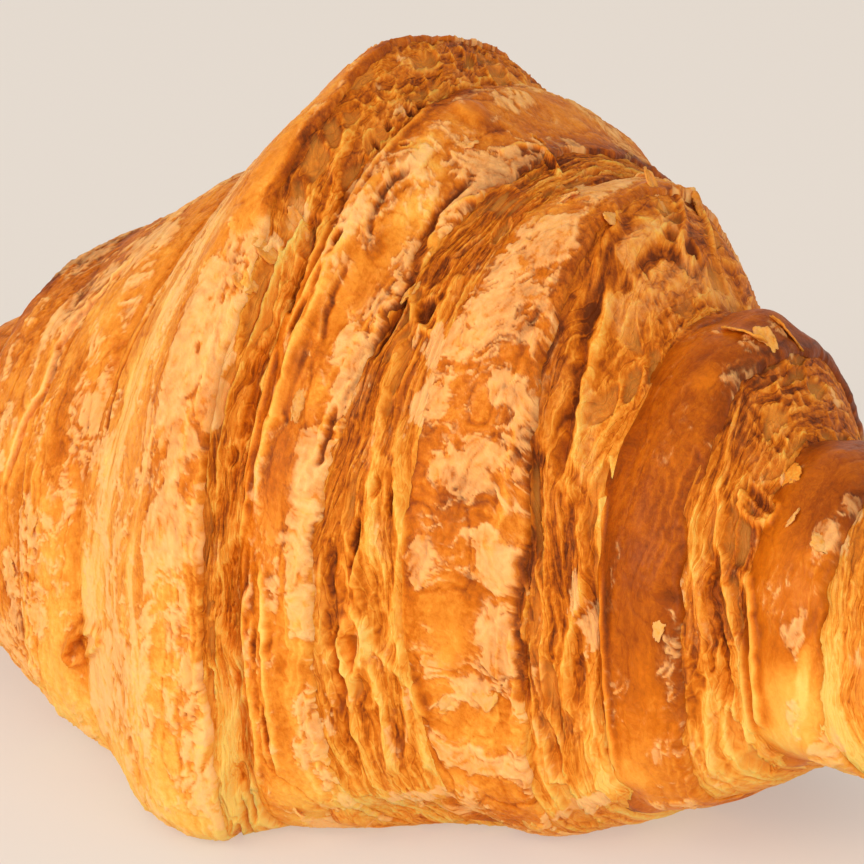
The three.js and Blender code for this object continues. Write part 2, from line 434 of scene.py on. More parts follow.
@dataclass(frozen=True)
class Fold:
    """A long thin feature that follows a path.

    wide is its half width in millimetres and amount its strength, and x and y give the points of
    its path in the photograph's frame.
    """

    stroke: Stroke
    wide: float
    amount: float
    x: tuple[float, ...]
    y: tuple[float, ...]


@dataclass(frozen=True)
class Flake:
    """A thin loose flake that has lifted along one side.

    x and y give its middle in the photograph's frame, long its half length round the roll and wide
    its half width along the axis in millimetres, tilt turns it in degrees, and lift is how far its
    free side stands off.
    """

    long: float
    wide: float
    x: float
    y: float
    tilt: float = 0.0
    lift: float = 0.6
    curl: float = 0.2
    bake: float = 0.4
    pale: float = 0.5


@dataclass(frozen=True)
class Viewpoint:
    """Where the photograph was taken from: angles round a point over the middle, in degrees.

    Lengths are in millimetres, and frame_size is the side of the photograph in pixels.
    """

    azimuth: float = 34.84
    elevation: float = 20.57
    distance: float = 451.0
    aside: float = -0.51
    target_height: float = 28.74
    lens: float = 207.25
    sensor: float = 36.0
    frame_size: float = 864.0

    def aim(self, centring: tuple[float, float]) -> tuple[Array, Array, Array]:
        """How the camera looks.

        Args:
            centring: Where the roll's middle lies on the floor.

        Returns:
            The directions back to the camera and to its right, and the point that it looks at.
        """
        a, e = math.radians(self.azimuth), math.radians(self.elevation)
        back = np.array([math.sin(a) * math.cos(e), -math.cos(a) * math.cos(e), math.sin(e)])
        right = np.array([math.cos(a), math.sin(a), 0.0])
        return back, right, right * self.aside + np.array([*centring, self.target_height])


@dataclass
class Sighting:
    """Finds where on the roll a point of the photograph's frame falls.

    places and turns are the start, end and step of a grid along the axis and round it, which lies
    sunk millimetres below the crests.
    """

    form: RolledForm
    view: Viewpoint = Viewpoint()
    places: tuple[float, float, float] = (-55, 60, 0.25)
    turns: tuple[float, float, float] = (-60, 175, 0.5)
    sunk: float = 0.8

    def __post_init__(self) -> None:
        """Lays a grid over the roll and looks at it through the camera."""
        grid = np.arange(*self.places), np.arange(*self.turns)
        self.s, self.degrees = np.meshgrid(*grid, indexing="ij")
        back, right, target = self.view.aim(self.form.centring)
        gap = self.form.point(self.s, self.degrees, self.sunk) - (target + back * self.view.distance)
        self.away = -(gap @ back)
        focal = self.view.lens * self.view.frame_size / self.view.sensor
        self.x = self.view.frame_size / 2 + focal * (gap @ right) / self.away
        self.y = self.view.frame_size / 2 - focal * (gap @ np.cross(back, right)) / self.away

    def find(self, x: float, y: float) -> tuple[float, float]:
        """Place along the axis and angle of the nearest point of the roll that is seen at x and y."""
        off = (self.x - x) ** 2 + (self.y - y) ** 2
        # points within 3 pixels, or else those little farther than the nearest, and of them the front ones
        near = off < max(9.0, float(off.min()) + 4.0)
        front = self.away[near].min() + 2.5
        k = np.unravel_index(np.argmin(np.where(near & (self.away < front), off, np.inf)), off.shape)
        return float(self.s[k]), float(self.degrees[k])


@dataclass(frozen=True)
class Look:
    """How a wrap has baked.

    bake adds to its browning, and lighten lessens that low down. On skins darken deepens it near
    the top, flaky adds pale flakes of flake_long by flake_wide millimetres, crinkle is how wrinkled
    they are and satin how smooth and glossy. On layers opened is how open they are, and comb how
    much of a comb they are over the top.
    """

    bake: float = 0.0
    flaky: float = 0.0
    opened: float = 1.0
    flake_long: float = 6.0
    flake_wide: float = 3.2
    crinkle: float = 0.5
    lighten: float = 0.24
    darken: float = 0.15
    satin: float = 0.0
    comb: float = 0.1


@dataclass(frozen=True)
class Row:
    """One row of a wrap's mesh.

    t is its share of the way between the wrap's lines, offset moves it along the axis and depth
    sinks it, shrink is the share of the section it keeps, and shown how far its relief shows.
    """

    t: float
    offset: float
    depth: float
    shrink: float = 1.0
    shown: float = 1.0


@dataclass
class Surface:
    """What is known at every vertex of a wrap while its relief is made."""

    s: Array
    degrees: Array
    around: Array
    t: Array
    reach: Array
    rise: Array
    slide: Array
    bake: Array
    pale: Array
    pit: Array
    gloss: Array
    flow: Array


def each(rows: list[Row], key: str) -> Array:
    """One value of every row."""
    return np.array([getattr(row, key) for row in rows])


def coarser() -> float:
    return 1.0


def new_grid(name: str, columns: int, rows: int) -> tuple[bpy.types.Object, Array]:
    """A flat grid between -1 and 1.

    Args:
        name: The name of the object and of its mesh.
        columns: How many faces it has along x.
        rows: How many it has along y.

    Returns:
        The object, and its points as rows of x, y and z.
    """
    bpy.ops.object.select_all(action="DESELECT")
    bpy.ops.mesh.primitive_grid_add(x_subdivisions=columns, y_subdivisions=rows, size=2)
    piece = bpy.context.active_object
    piece.name = piece.data.name = name
    flat = np.empty(len(piece.data.vertices) * 3, np.float32)
    piece.data.vertices.foreach_get("co", flat)
    return piece, flat.reshape(-1, 3)


def place_points(piece: bpy.types.Object, points: Array) -> None:
    """Moves the points of a mesh to places in millimetres."""
    piece.data.vertices.foreach_set("co", (points * MM).astype(np.float32).ravel())


def keep(piece: bpy.types.Object, name: str, values: Array) -> None:
    """Keeps a number or a vector for each point of a mesh as an attribute."""
    kind, key = ("FLOAT", "value") if values.ndim == 1 else ("FLOAT_VECTOR", "vector")
    layer = piece.data.attributes.new(name, kind, "POINT")
    layer.data.foreach_set(key, values.astype(np.float32).ravel())


def dress(piece: bpy.types.Object, finish: bpy.types.Material, merge: float = 0.0) -> None:
    """Turns every face outwards, shades the piece smooth and gives it its material.

    Args:
        piece: The piece, as the active object.
        finish: Its material.
        merge: Doubles closer than this, in metres, are merged.
    """
    bpy.ops.object.mode_set(mode="EDIT")
    bpy.ops.mesh.select_all(action="SELECT")
    if merge:
        bpy.ops.mesh.remove_doubles(threshold=merge)
    bpy.ops.mesh.normals_make_consistent(inside=False)
    bpy.ops.object.mode_set(mode="OBJECT")
    bpy.ops.object.shade_smooth()
    piece.data.materials.clear()
    piece.data.materials.append(finish)


@dataclass
class Wrap:
    """A closed length of the roll: skin that runs out from a crease, or the cut layers beside an edge."""

    name: str
    form: RolledForm
    start: str
    end: str
    side: Side
    look: Look
    fine: float = 0.17
    coarse: float = 0.55
    seed: int = 1
    tuck: float = 2.6
    # strength of the painted shade in the relief's hollows and the painted light on what stands out
    cavity_shade: float = 1.1

    cavity_shade_limit: ClassVar[float] = 0.22
    tones: ClassVar[tuple[str, ...]] = ("bake", "pale", "pit", "gloss")
    merge: ClassVar[float] = 0.000002

    def rows(self) -> list[Row]:
        """The rows from the hidden start to the hidden end."""
        raise NotImplementedError

    def relief(self, surface: Surface) -> None:
        """Adds the relief and the tones to a surface."""
        raise NotImplementedError

    def step(self) -> float:
        """Spacing of the rows."""
        return self.fine * coarser()

    def span(self) -> float:
        """Distance along the axis between the wrap's two lines, at the front."""
        return abs(self.form.lines[self.end].at - self.form.lines[self.start].at)

    def columns(self) -> tuple[Array, Array]:
        """Angles of the columns, closer together where the roll is seen from the front.

        Returns:
            The angles, from underneath round to underneath, and the way round in millimetres.
        """
        middle = (self.form.lines[self.start].at + self.form.lines[self.end].at) / 2
        degrees = np.linspace(-180, 180, 4 * int(FULL_TURN) + 1)
        points = self.form.point(0 * degrees + middle, degrees, 0.5)
        steps = np.linalg.norm(np.diff(points, axis=0), axis=1)
        mid = (degrees[1:] + degrees[:-1]) / 2
        # from behind the crest round to the underside, but for what lies on the base
        seen = ramp(mid, -75, -45) * (1 - ramp(mid, 165, 178)) * ramp(points[1:, 2], 0.05, 1.2)
        dense = steps * mix(1 / self.coarse, 1 / self.fine, seen) / coarser()
        total = np.concatenate([[0], np.cumsum(dense)])
        count = int(round(total[-1]))
        angles = np.interp(np.linspace(0, total[-1], count + 1), total, degrees)
        way = np.concatenate([[0], np.cumsum(steps)])
        return angles, np.interp(angles, degrees, way - np.interp(90, degrees, way))

    def build(self, marks: "Markings", finish: bpy.types.Material) -> bpy.types.Object:
        """Models the wrap as one closed mesh.

        Args:
            marks: Patches and folds with traits of their own, anywhere on the roll.
            finish: The material it is dressed in.

        Returns:
            The finished piece.
        """
        rows = self.rows()
        angles, way = self.columns()
        surface = self.surface(rows, angles, way)
        self.lay_flakes(surface, marks, angles, way)
        self.relief(surface)
        self.apply_folds(surface, marks, angles, way)
        self.apply_marks(surface, marks, angles, way)
        # painted shade and light: the colour darkens where the relief dips below its surroundings and
        # lightens where it stands out
        reach = 3
        rise = surface.rise - soften(surface.rise, reach)
        surface.bake -= self.cavity_shade * np.clip(rise, -self.cavity_shade_limit, self.cavity_shade_limit)
        depth, shrink, shown = (each(rows, key)[:, None] for key in ("depth", "shrink", "shown"))
        # the relief dies out towards the seam underneath
        share = ramp(angles + 180, 0, 5) * ramp(180 - angles, 0, 5) * shown
        settle = 1 - self.form.crease_fade * self.form.settled(angles)
        deep = np.maximum(depth, 0) * settle - surface.rise * share
        lift = (1 - shown) * (0.35 + 0.25 * depth)
        points = self.form.point(surface.s + surface.slide * share, angles[None, :], deep, shrink, lift)
        piece = self.tube(points, surface)
        dress(piece, finish, self.merge)
        piece.select_set(False)
        return piece

    def surface(self, rows: list[Row], angles: Array, way: Array) -> Surface:
        """The plain surface before its relief.

        Args:
            rows: The rows of the mesh.
            angles: The angles of its columns.
            way: The way round of its columns in millimetres.

        Returns:
            The surface, with blank relief and middling tones.
        """
        t, offset, depth = (each(rows, key) for key in ("t", "offset", "depth"))
        start, end = (self.form.place(name, angles) for name in (self.start, self.end))
        s = mix(start, end, t[:, None]) + offset[:, None]
        for k, row in enumerate(rows):
            if row.shrink < 1:
                s[k] = mix(s[k].mean(), s[k], row.shrink)
        profile = np.stack([s[:, int(np.argmin(np.abs(angles - 90)))], depth], -1)
        reach = np.concatenate([[0], np.cumsum(np.linalg.norm(np.diff(profile, axis=0), axis=1))])
        reach -= reach[next(k for k, row in enumerate(rows) if row.shown == 1)]
        blank = np.zeros(s.shape, np.float32)
        wide = {"degrees": angles, "around": way, "t": t[:, None], "reach": reach[:, None],
                "s": s, "flow": s}
        wide = {key: (values + blank).astype(np.float32) for key, values in wide.items()}
        even = {"rise": 0, "slide": 0, "bake": 0.5, "pale": 0, "pit": 0, "gloss": 0.5}
        return Surface(**wide, **{key: blank + value for key, value in even.items()})

    def box(self, f: Surface, way: Array, places: Array, rounds: Array, reach: float) -> tuple | None:
        """Rows and columns of the surface that lie within reach of some places."""
        low, high = places.min() - reach, places.max() + reach
        rows = np.flatnonzero((f.s.max(1) > low) & (f.s.min(1) < high))
        columns = np.flatnonzero((way > rounds.min() - reach) & (way < rounds.max() + reach))
        if not len(rows) or not len(columns):
            return None
        return np.ix_(range(rows[0], rows[-1] + 1), range(columns[0], columns[-1] + 1))

    def turned(self, f: Surface, box: tuple, mark: Mark, at: float, centre: float) -> tuple[Array, Array]:
        """Coordinates of the surface in half lengths and half widths of a mark."""
        along, round_ = f.s[box] - at, f.around[box] - centre
        c, n = math.cos(math.radians(mark.tilt)), math.sin(math.radians(mark.tilt))
        return (round_ * c + along * n) / mark.long, (along * c - round_ * n) / mark.wide

    def patches_here(self, f: Surface, marks: "Markings", angles: Array, way: Array) -> Iterator[tuple]:
        """Finds the marks that reach this wrap.

        Args:
            f: The surface.
            marks: Every mark of the roll.
            angles: The angles of the columns.
            way: The way round of the columns in millimetres.

        Yields:
            A mark's number, itself, its part of the surface, and how far that lies from its middle in
            half lengths and in half widths.
        """
        for k, (mark, at, angle) in enumerate(marks.patches):
            centre = np.interp(angle, angles, way)
            box = self.box(f, way, np.array([at]), np.array([centre]), 1.5 * max(mark.long, mark.wide))
            if box is not None:
                yield k, mark, box, *self.turned(f, box, mark, at, centre)

    def folds_here(self, f: Surface, marks: "Markings", angles: Array, way: Array) -> Iterator[tuple]:
        """Finds the folds that reach this wrap, as patches_here does.

        Yields:
            A fold's number, itself, its part of the surface, and what from_path says of it.
        """
        for k, (fold, places, turns) in enumerate(marks.folds):
            rounds = np.interp(turns, angles, way)
            box = self.box(f, way, places, rounds, 2.5 * fold.wide + 1.0)
            if box is not None:
                yield k, fold, box, *self.from_path(f.around[box], f.s[box], rounds, places)

    def lay_flakes(self, f: Surface, marks: "Markings", angles: Array, way: Array) -> None:
        """Sets how thickly pale flakes lie where marks and streaks ask for them."""
        for _, mark, box, p, q in self.patches_here(f, marks, angles, way):
            if mark.trait is Trait.PALE_FLAKE:
                f.pale[box] = np.maximum(f.pale[box], mark.amount * ramp(np.hypot(p, q), 1.4, 0.35))
        for _, fold, box, gap, _, share in self.folds_here(f, marks, angles, way):
            if fold.stroke is Stroke.STREAK:
                fade = ends(share, 0.06)
                f.pale[box] = np.maximum(f.pale[box], fold.amount * fade * ramp(gap / fold.wide, 1.4, 0.4))

    def apply_marks(self, f: Surface, marks: "Markings", angles: Array, way: Array) -> None:
        """Adds the patches that lie on this wrap to its relief and tones."""
        for k, mark, box, p, q in self.patches_here(f, marks, angles, way):
            self.stamp(f, box, mark, p, q, MARK_SEED + k)

    def apply_folds(self, f: Surface, marks: "Markings", angles: Array, way: Array) -> None:
        """Adds the strands, grooves, bands and steps that cross this wrap."""
        for k, fold, box, gap, signed, share in self.folds_here(f, marks, angles, way):
            sway = 0.35 * fold.wide * wave(f.around[box] / 1.7, f.s[box] / 1.3, FOLD_SEED + k)
            near = bell(gap + sway, 0, fold.wide) * ends(share, 0.12)
            self.draw_fold(f, box, fold, near, gap, signed, share)

    @staticmethod
    def from_path(x: Array, y: Array, path_x: Array, path_y: Array) -> tuple[Array, Array, Array]:
        """Distance from a path, the same with its side as its sign, and the share of the path passed."""
        best = np.full(x.shape, 1e9)
        side, share = np.zeros(x.shape), np.zeros(x.shape)
        last = len(path_x) - 1
        for k in range(last):
            dx, dy = path_x[k + 1] - path_x[k], path_y[k + 1] - path_y[k]
            t = np.clip(((x - path_x[k]) * dx + (y - path_y[k]) * dy) / (dx * dx + dy * dy + 1e-9), 0, 1)
            gx, gy = x - path_x[k] - t * dx, y - path_y[k] - t * dy
            gap = np.hypot(gx, gy)
            nearer = gap < best
            best = np.where(nearer, gap, best)
            side = np.where(nearer, np.sign(dx * gy - dy * gx), side)
            share = np.where(nearer, (k + t) / last, share)
        return best, best * side, share

    def draw_fold(self, f: Surface, box: tuple, fold: Fold, near: Array, gap: Array,
                  signed: Array, share: Array) -> None:
        """Puts one fold on the surface.

        Args:
            f: The surface.
            box: The part of it that the fold may reach.
            fold: The fold.
            near: 1 on the fold's path, falling off beside it.
            gap: Distance from the path.
            signed: The same, negative on its other side.
            share: Share of the path passed.
        """
        a, v, u = fold.amount, f.around[box], f.s[box]
        if fold.stroke is Stroke.STRAND:
            f.rise[box] = mix(f.rise[box], np.maximum(f.rise[box], 0.1) + 0.45 * a, near)
            f.bake[box] -= 0.16 * a * near
            f.pit[box] *= 1 - near
        elif fold.stroke is Stroke.GROOVE:
            f.rise[box] -= 0.75 * a * near
            # the groove is darkened in the colour: painted shade
            f.bake[box] += 0.10 * a * near
            f.pale[box] *= 1 - 0.8 * near
        elif fold.stroke in (Stroke.BROWN, Stroke.TAN, Stroke.CREAM):
            rough = 0.35 * layered(v / 1.6, u / 1.1, 960, 4, 0.7)
            inside = ramp(gap / fold.wide + rough, 1.15, 0.6) * ends(share, 0.08)
            if fold.stroke is Stroke.BROWN:
                f.bake[box] = mix(f.bake[box], 0.4 * f.bake[box] + 0.46, a * inside)
                f.rise[box] = mix(f.rise[box], 0.35 * f.rise[box] + 0.05, a * inside)
                f.pale[box] *= 1 - 0.8 * inside
            elif fold.stroke is Stroke.CREAM:
                streaks = a * inside * (0.9 + 0.9 * layered(v / 7, signed / 0.5, 77, 3))
                streaks = np.clip(streaks, 0, 1)
                f.bake[box] = mix(f.bake[box], 0.4 * f.bake[box], streaks)
                f.pale[box] = mix(f.pale[box], 0.3 * f.pale[box] + 0.42, streaks)
            else:
                f.bake[box] = mix(f.bake[box], 0.6 * f.bake[box] + 0.10, a * inside)
                f.pale[box] = np.maximum(f.pale[box], 0.42 * a * inside)
        elif fold.stroke is Stroke.CURL:
            f.rise[box] += 0.75 * a * near
            f.bake[box] = mix(f.bake[box], 0.80, near)
            f.pale[box] *= 1 - near
        elif fold.stroke is Stroke.STEP:
            a = a * ramp(gap, 4 * fold.wide, 0.0) * ends(share, 0.1)
            up = ramp(signed + 0.12 * wave(v / 0.9, u / 0.7, 980), -0.05, 0.14)
            f.rise[box] += a * (0.38 * up - 0.3 * bell(signed, -0.25, 0.25))
            # darker in the dip at the step's foot: painted shade
            f.bake[box] += 0.14 * a * bell(signed, -0.2, 0.25)
            f.pale[box] = np.maximum(f.pale[box], 0.5 * a * bell(signed, 0.2, 0.18))

    def stamp(self, f: Surface, box: tuple, mark: Mark, p: Array, q: Array, seed: int) -> None:
        """Puts one patch on the surface.

        Args:
            f: The surface.
            box: The part of it that the patch may reach.
            mark: The patch.
            p: Half lengths from its middle.
            q: Half widths from its middle.
            seed: Number of its rim's pattern.
        """
        away, a, v, u = np.sqrt(p * p + q * q), mark.amount, f.around[box], f.s[box]
        soft = ramp(away, 1.15, 0.3)
        if mark.trait is Trait.SMOOTH:
            f.rise[box] *= 1 - 0.8 * soft * a
            f.pale[box] *= 1 - 0.8 * soft * a
            f.gloss[box] = mix(f.gloss[box], 0.75, soft)
        elif mark.trait is Trait.BLISTER:
            f.rise[box] = mix(f.rise[box], 0.7 * a * soft, soft)
            f.gloss[box] = mix(f.gloss[box], 0.9, soft)
        elif mark.trait is Trait.PIT:
            away = away + 0.17 * layered(v / 2.2, u / 1.6, seed, 5, 0.7)
            hole, rim = ramp(away, 1.0, 0.3), bell(away, 1.08, 0.16)
            f.rise[box] += hole * (-0.55 * f.rise[box] - 0.8 * a) + 0.12 * a * rim
            f.pit[box] *= 1 - hole
            f.pale[box] *= 1 - hole
            # darker in the hole and paler on its rim: painted shade and painted highlight
            f.bake[box] += a * (0.18 * hole - 0.08 * rim)
        elif mark.trait is Trait.CRUMB:
            grain = 1 - np.abs(wave(v / 1.1, u / 0.8, 77)) - 0.6 * np.abs(wave(v / 0.55, u / 0.5, 78))
            f.rise[box] += 0.36 * a * soft * (grain - 0.3)
            f.bake[box] -= 0.10 * a * soft * (grain + 0.2)
            f.pale[box] = np.maximum(f.pale[box], 0.3 * a * soft * ramp(grain, 0.2, 0.8))
            f.gloss[box] = mix(f.gloss[box], 0.15, soft)
        elif mark.trait is Trait.DARK:
            f.bake[box] += 0.25 * a * soft
        elif mark.trait is Trait.YELLOW:
            f.bake[box] -= 0.3 * a * soft
        elif mark.trait is Trait.SWELL:
            f.rise[box] += a * ramp(away, 1.35, 0.0)

    def tube(self, points: Array, surface: Surface) -> bpy.types.Object:
        """A grid rolled into a tube, with the tones of the crust as attributes.

        Args:
            points: Rows by columns of points in millimetres.
            surface: The tones at each point.

        Returns:
            The object, whose seam and ends still have doubles.
        """
        rows, columns = points.shape[:2]
        piece, flat = new_grid(self.name, columns - 1, rows - 1)
        column = np.rint((flat[:, 0] + 1) / 2 * (columns - 1)).astype(int)
        row = np.rint((flat[:, 1] + 1) / 2 * (rows - 1)).astype(int)
        seam = np.where(column == columns - 1, 0, column)
        place_points(piece, points[row, seam])
        for name in self.tones:
            keep(piece, name, np.clip(getattr(surface, name), 0, 1)[row, seam])
        keep(piece, "band", np.stack([surface.around, surface.flow, surface.reach], -1)[row, column])
        return piece


@dataclass
class SkinWrap(Wrap):
    """The smooth outside of a wrap, from under its neighbour to the edge where the sheet was cut."""

    lip: float = 0.35
    lip_turn: ClassVar[tuple[tuple[float, float], ...]] = (
        (0.5, 0.06), (0.85, 0.22), (1.0, 0.48), (0.9, 0.8), (0.5, 1.05), (-0.6, 1.3))

    def tucked(self) -> list[Row]:
        """The rows that are hidden under the neighbour, closed on the axis."""
        way, deep, hidden = self.side.value, self.form.lines[self.start].depth, 5
        rows = [Row(0, -way * self.tuck, deep + 3, shrink, shown=0) for shrink in (0.0, 0.7)]
        for k in range(hidden):
            back = self.tuck * (1 - k / hidden)
            rows.append(Row(0, -way * back, deep + 0.7 * back, shown=0.0 if back > 1 else 0.6))
        return rows

    def rows(self) -> list[Row]:
        """Tucked start, skin up to the edge, and a lip that turns back in."""
        rows, way, deep = self.tucked(), self.side.value, self.form.lines[self.start].depth
        count = max(8, int(round((self.span() + 0.8 * deep) / self.step())))
        rows += [Row(k / count, 0, deep * (1 - k / count) ** 2.2) for k in range(count + 1)]
        rows += [Row(1, way * self.lip * forward, down, shown=0.7) for forward, down in self.lip_turn]
        rows.append(Row(1, -way * 1.5, 1.8, shown=0))
        rows += [Row(1, -way * 1.8, 3.5, shrink, shown=0) for shrink in (0.7, 0.0)]
        return rows

    def relief(self, f: Surface) -> None:
        """Lumps, flakes of crust, wrinkles and browning of the smooth skin."""
        n, v, u, look = self.seed, f.around, f.s, self.look
        top = 1 - ramp(f.degrees, 0, 70)
        low = ramp(f.degrees, 78, 125)
        thick = f.pale
        from_edge = (1 - f.t) * self.span()
        from_crease = f.t * self.span()
        # broad lumps and smaller ones
        f.rise += 0.34 * wave(v / 9, u / 5.5, n) + 0.16 * wave(v / 4.2, u / 2.6, n + 1)
        f.rise += 0.06 * wave(v / 1.6, u / 1.1, n + 2)
        # coordinates that wander, so that nothing runs straight
        bend_u = u + 0.8 * wave(v / 6, u / 2.6, n + 3) + 0.3 * layered(v / 1.5, u / 1.1, n + 30, 3)
        bend_v = v + 1.2 * wave(v / 3, u / 2.2, n + 4) + 0.4 * layered(v / 1.2, u / 1.0, n + 31, 3)
        # torn sheets of pale crust, in broad patches and where the marks ask for them
        broad = 0.34 * wave(v / 12, u / 6, n + 5) + look.flaky + 0.06 + 0.72 * thick
        broad = broad + 0.06 * ramp(from_edge, 3.5, 0.4) - 0.4 * ramp(from_crease, 1.6, 0.0)
        coarse = layered(bend_v / look.flake_long, bend_u / look.flake_wide, n + 6, 5, 0.66)
        fine_v, fine_u = mix(0.9, 0.55, look.crinkle), mix(0.8, 1.5, look.crinkle)
        wisp = layered(bend_v / fine_v, bend_u / fine_u, n + 7, 3, 0.8)
        sheet = 0.70 * coarse + 0.38 * wisp + broad
        flake, film = ramp(sheet, 0.27, 0.38), ramp(sheet, -0.12, 0.30)
        rim = bell(sheet, 0.25, 0.04)
        worn = layered(bend_v / 0.8, bend_u / 0.7, n + 32, 3, 0.8)
        f.pale = flake * (0.60 + 0.38 * worn) + (1 - flake) * film * (0.40 + 0.28 * worn)
        f.rise += 0.12 * flake + 0.04 * film - 0.05 * rim
        # wrinkles and tiny blisters
        wrinkle = ridged(bend_v / 0.95, bend_u / 2.8, n + 8, 1.8) - 0.5
        rough = 1 - 0.75 * look.satin
        wrinkle = 0.10 * look.crinkle * wrinkle
        f.rise += rough * (wrinkle + 0.036 * layered(v / 0.62, u / 0.55, n + 9, 2, 0.7))
        border, lot, _ = cells(v / 0.75, u / 0.65, n + 10)
        f.rise += 0.055 * rough * ramp(border, 0.0, 0.35) * lot * (1 - 0.6 * f.pale)
        # folds that run beside the edge, which is torn
        stripe = ridged(v / 14, (bend_u + 0.4 * v / 12) / 0.7, n + 11, 2.6)
        near_edge = ramp(from_edge, 4.2, 0.2) * mix(1.0, 0.4, top)
        f.rise += (0.24 * stripe - 0.12) * near_edge * rough
        torn = ramp(from_edge, 1.1, 0.0)
        f.slide += self.side.value * torn * 0.32 * layered(v / 2.6, 0 * v, n + 16, 4, 0.65)
        f.rise += 0.12 * torn * wave(v / 1.3, 0 * v, n + 17)
        # cracks
        crack = ridged(bend_v / (1.2 * look.flake_long), bend_u / (0.7 * look.flake_wide), n + 12, 16)
        f.rise -= 0.12 * crack * rough
        # browning, with painted shade darkening the skin next to the crease
        tone = 0.50 + look.bake + look.darken * top - look.lighten * low
        tone = tone + 0.13 * layered(v / 10, u / 5, n + 13, 3) * mix(0.6, 1.0, rough)
        tone = tone + 0.09 * rough * layered(v / 2.0, u / 1.3, n + 14, 4, 0.7)
        # darker next to the crease: painted shade
        tone = tone + 0.10 * bell(from_edge, 0, 0.8) * (0.3 + top) + 0.10 * ramp(from_crease, 2.2, 0)
        # rims of the pale flakes and the cracks are darker: painted shadow lines
        f.bake = tone + rough * (0.07 * rim + 0.10 * crack) - 0.16 * rough * (stripe - 0.3) * near_edge
        f.gloss = 0.52 + 0.45 * look.satin - 0.5 * f.pale + 0.2 * layered(v / 5, u / 5, n + 15, 2)
        f.flow = bend_u


@dataclass
class TipWrap(SkinWrap):
    """The rounded end of the roll, from under its neighbour to the tip."""

    def rows(self) -> list[Row]:
        """Tucked start, then skin that closes at the tip."""
        deep = self.form.lines[self.start].depth
        count = max(8, int(round(1.4 * self.span() / self.step())))
        turn = [math.sin(k / count * math.pi / 2) for k in range(count + 1)]
        return self.tucked() + [Row(t, 0, deep * (1 - t) ** 2.2) for t in turn]


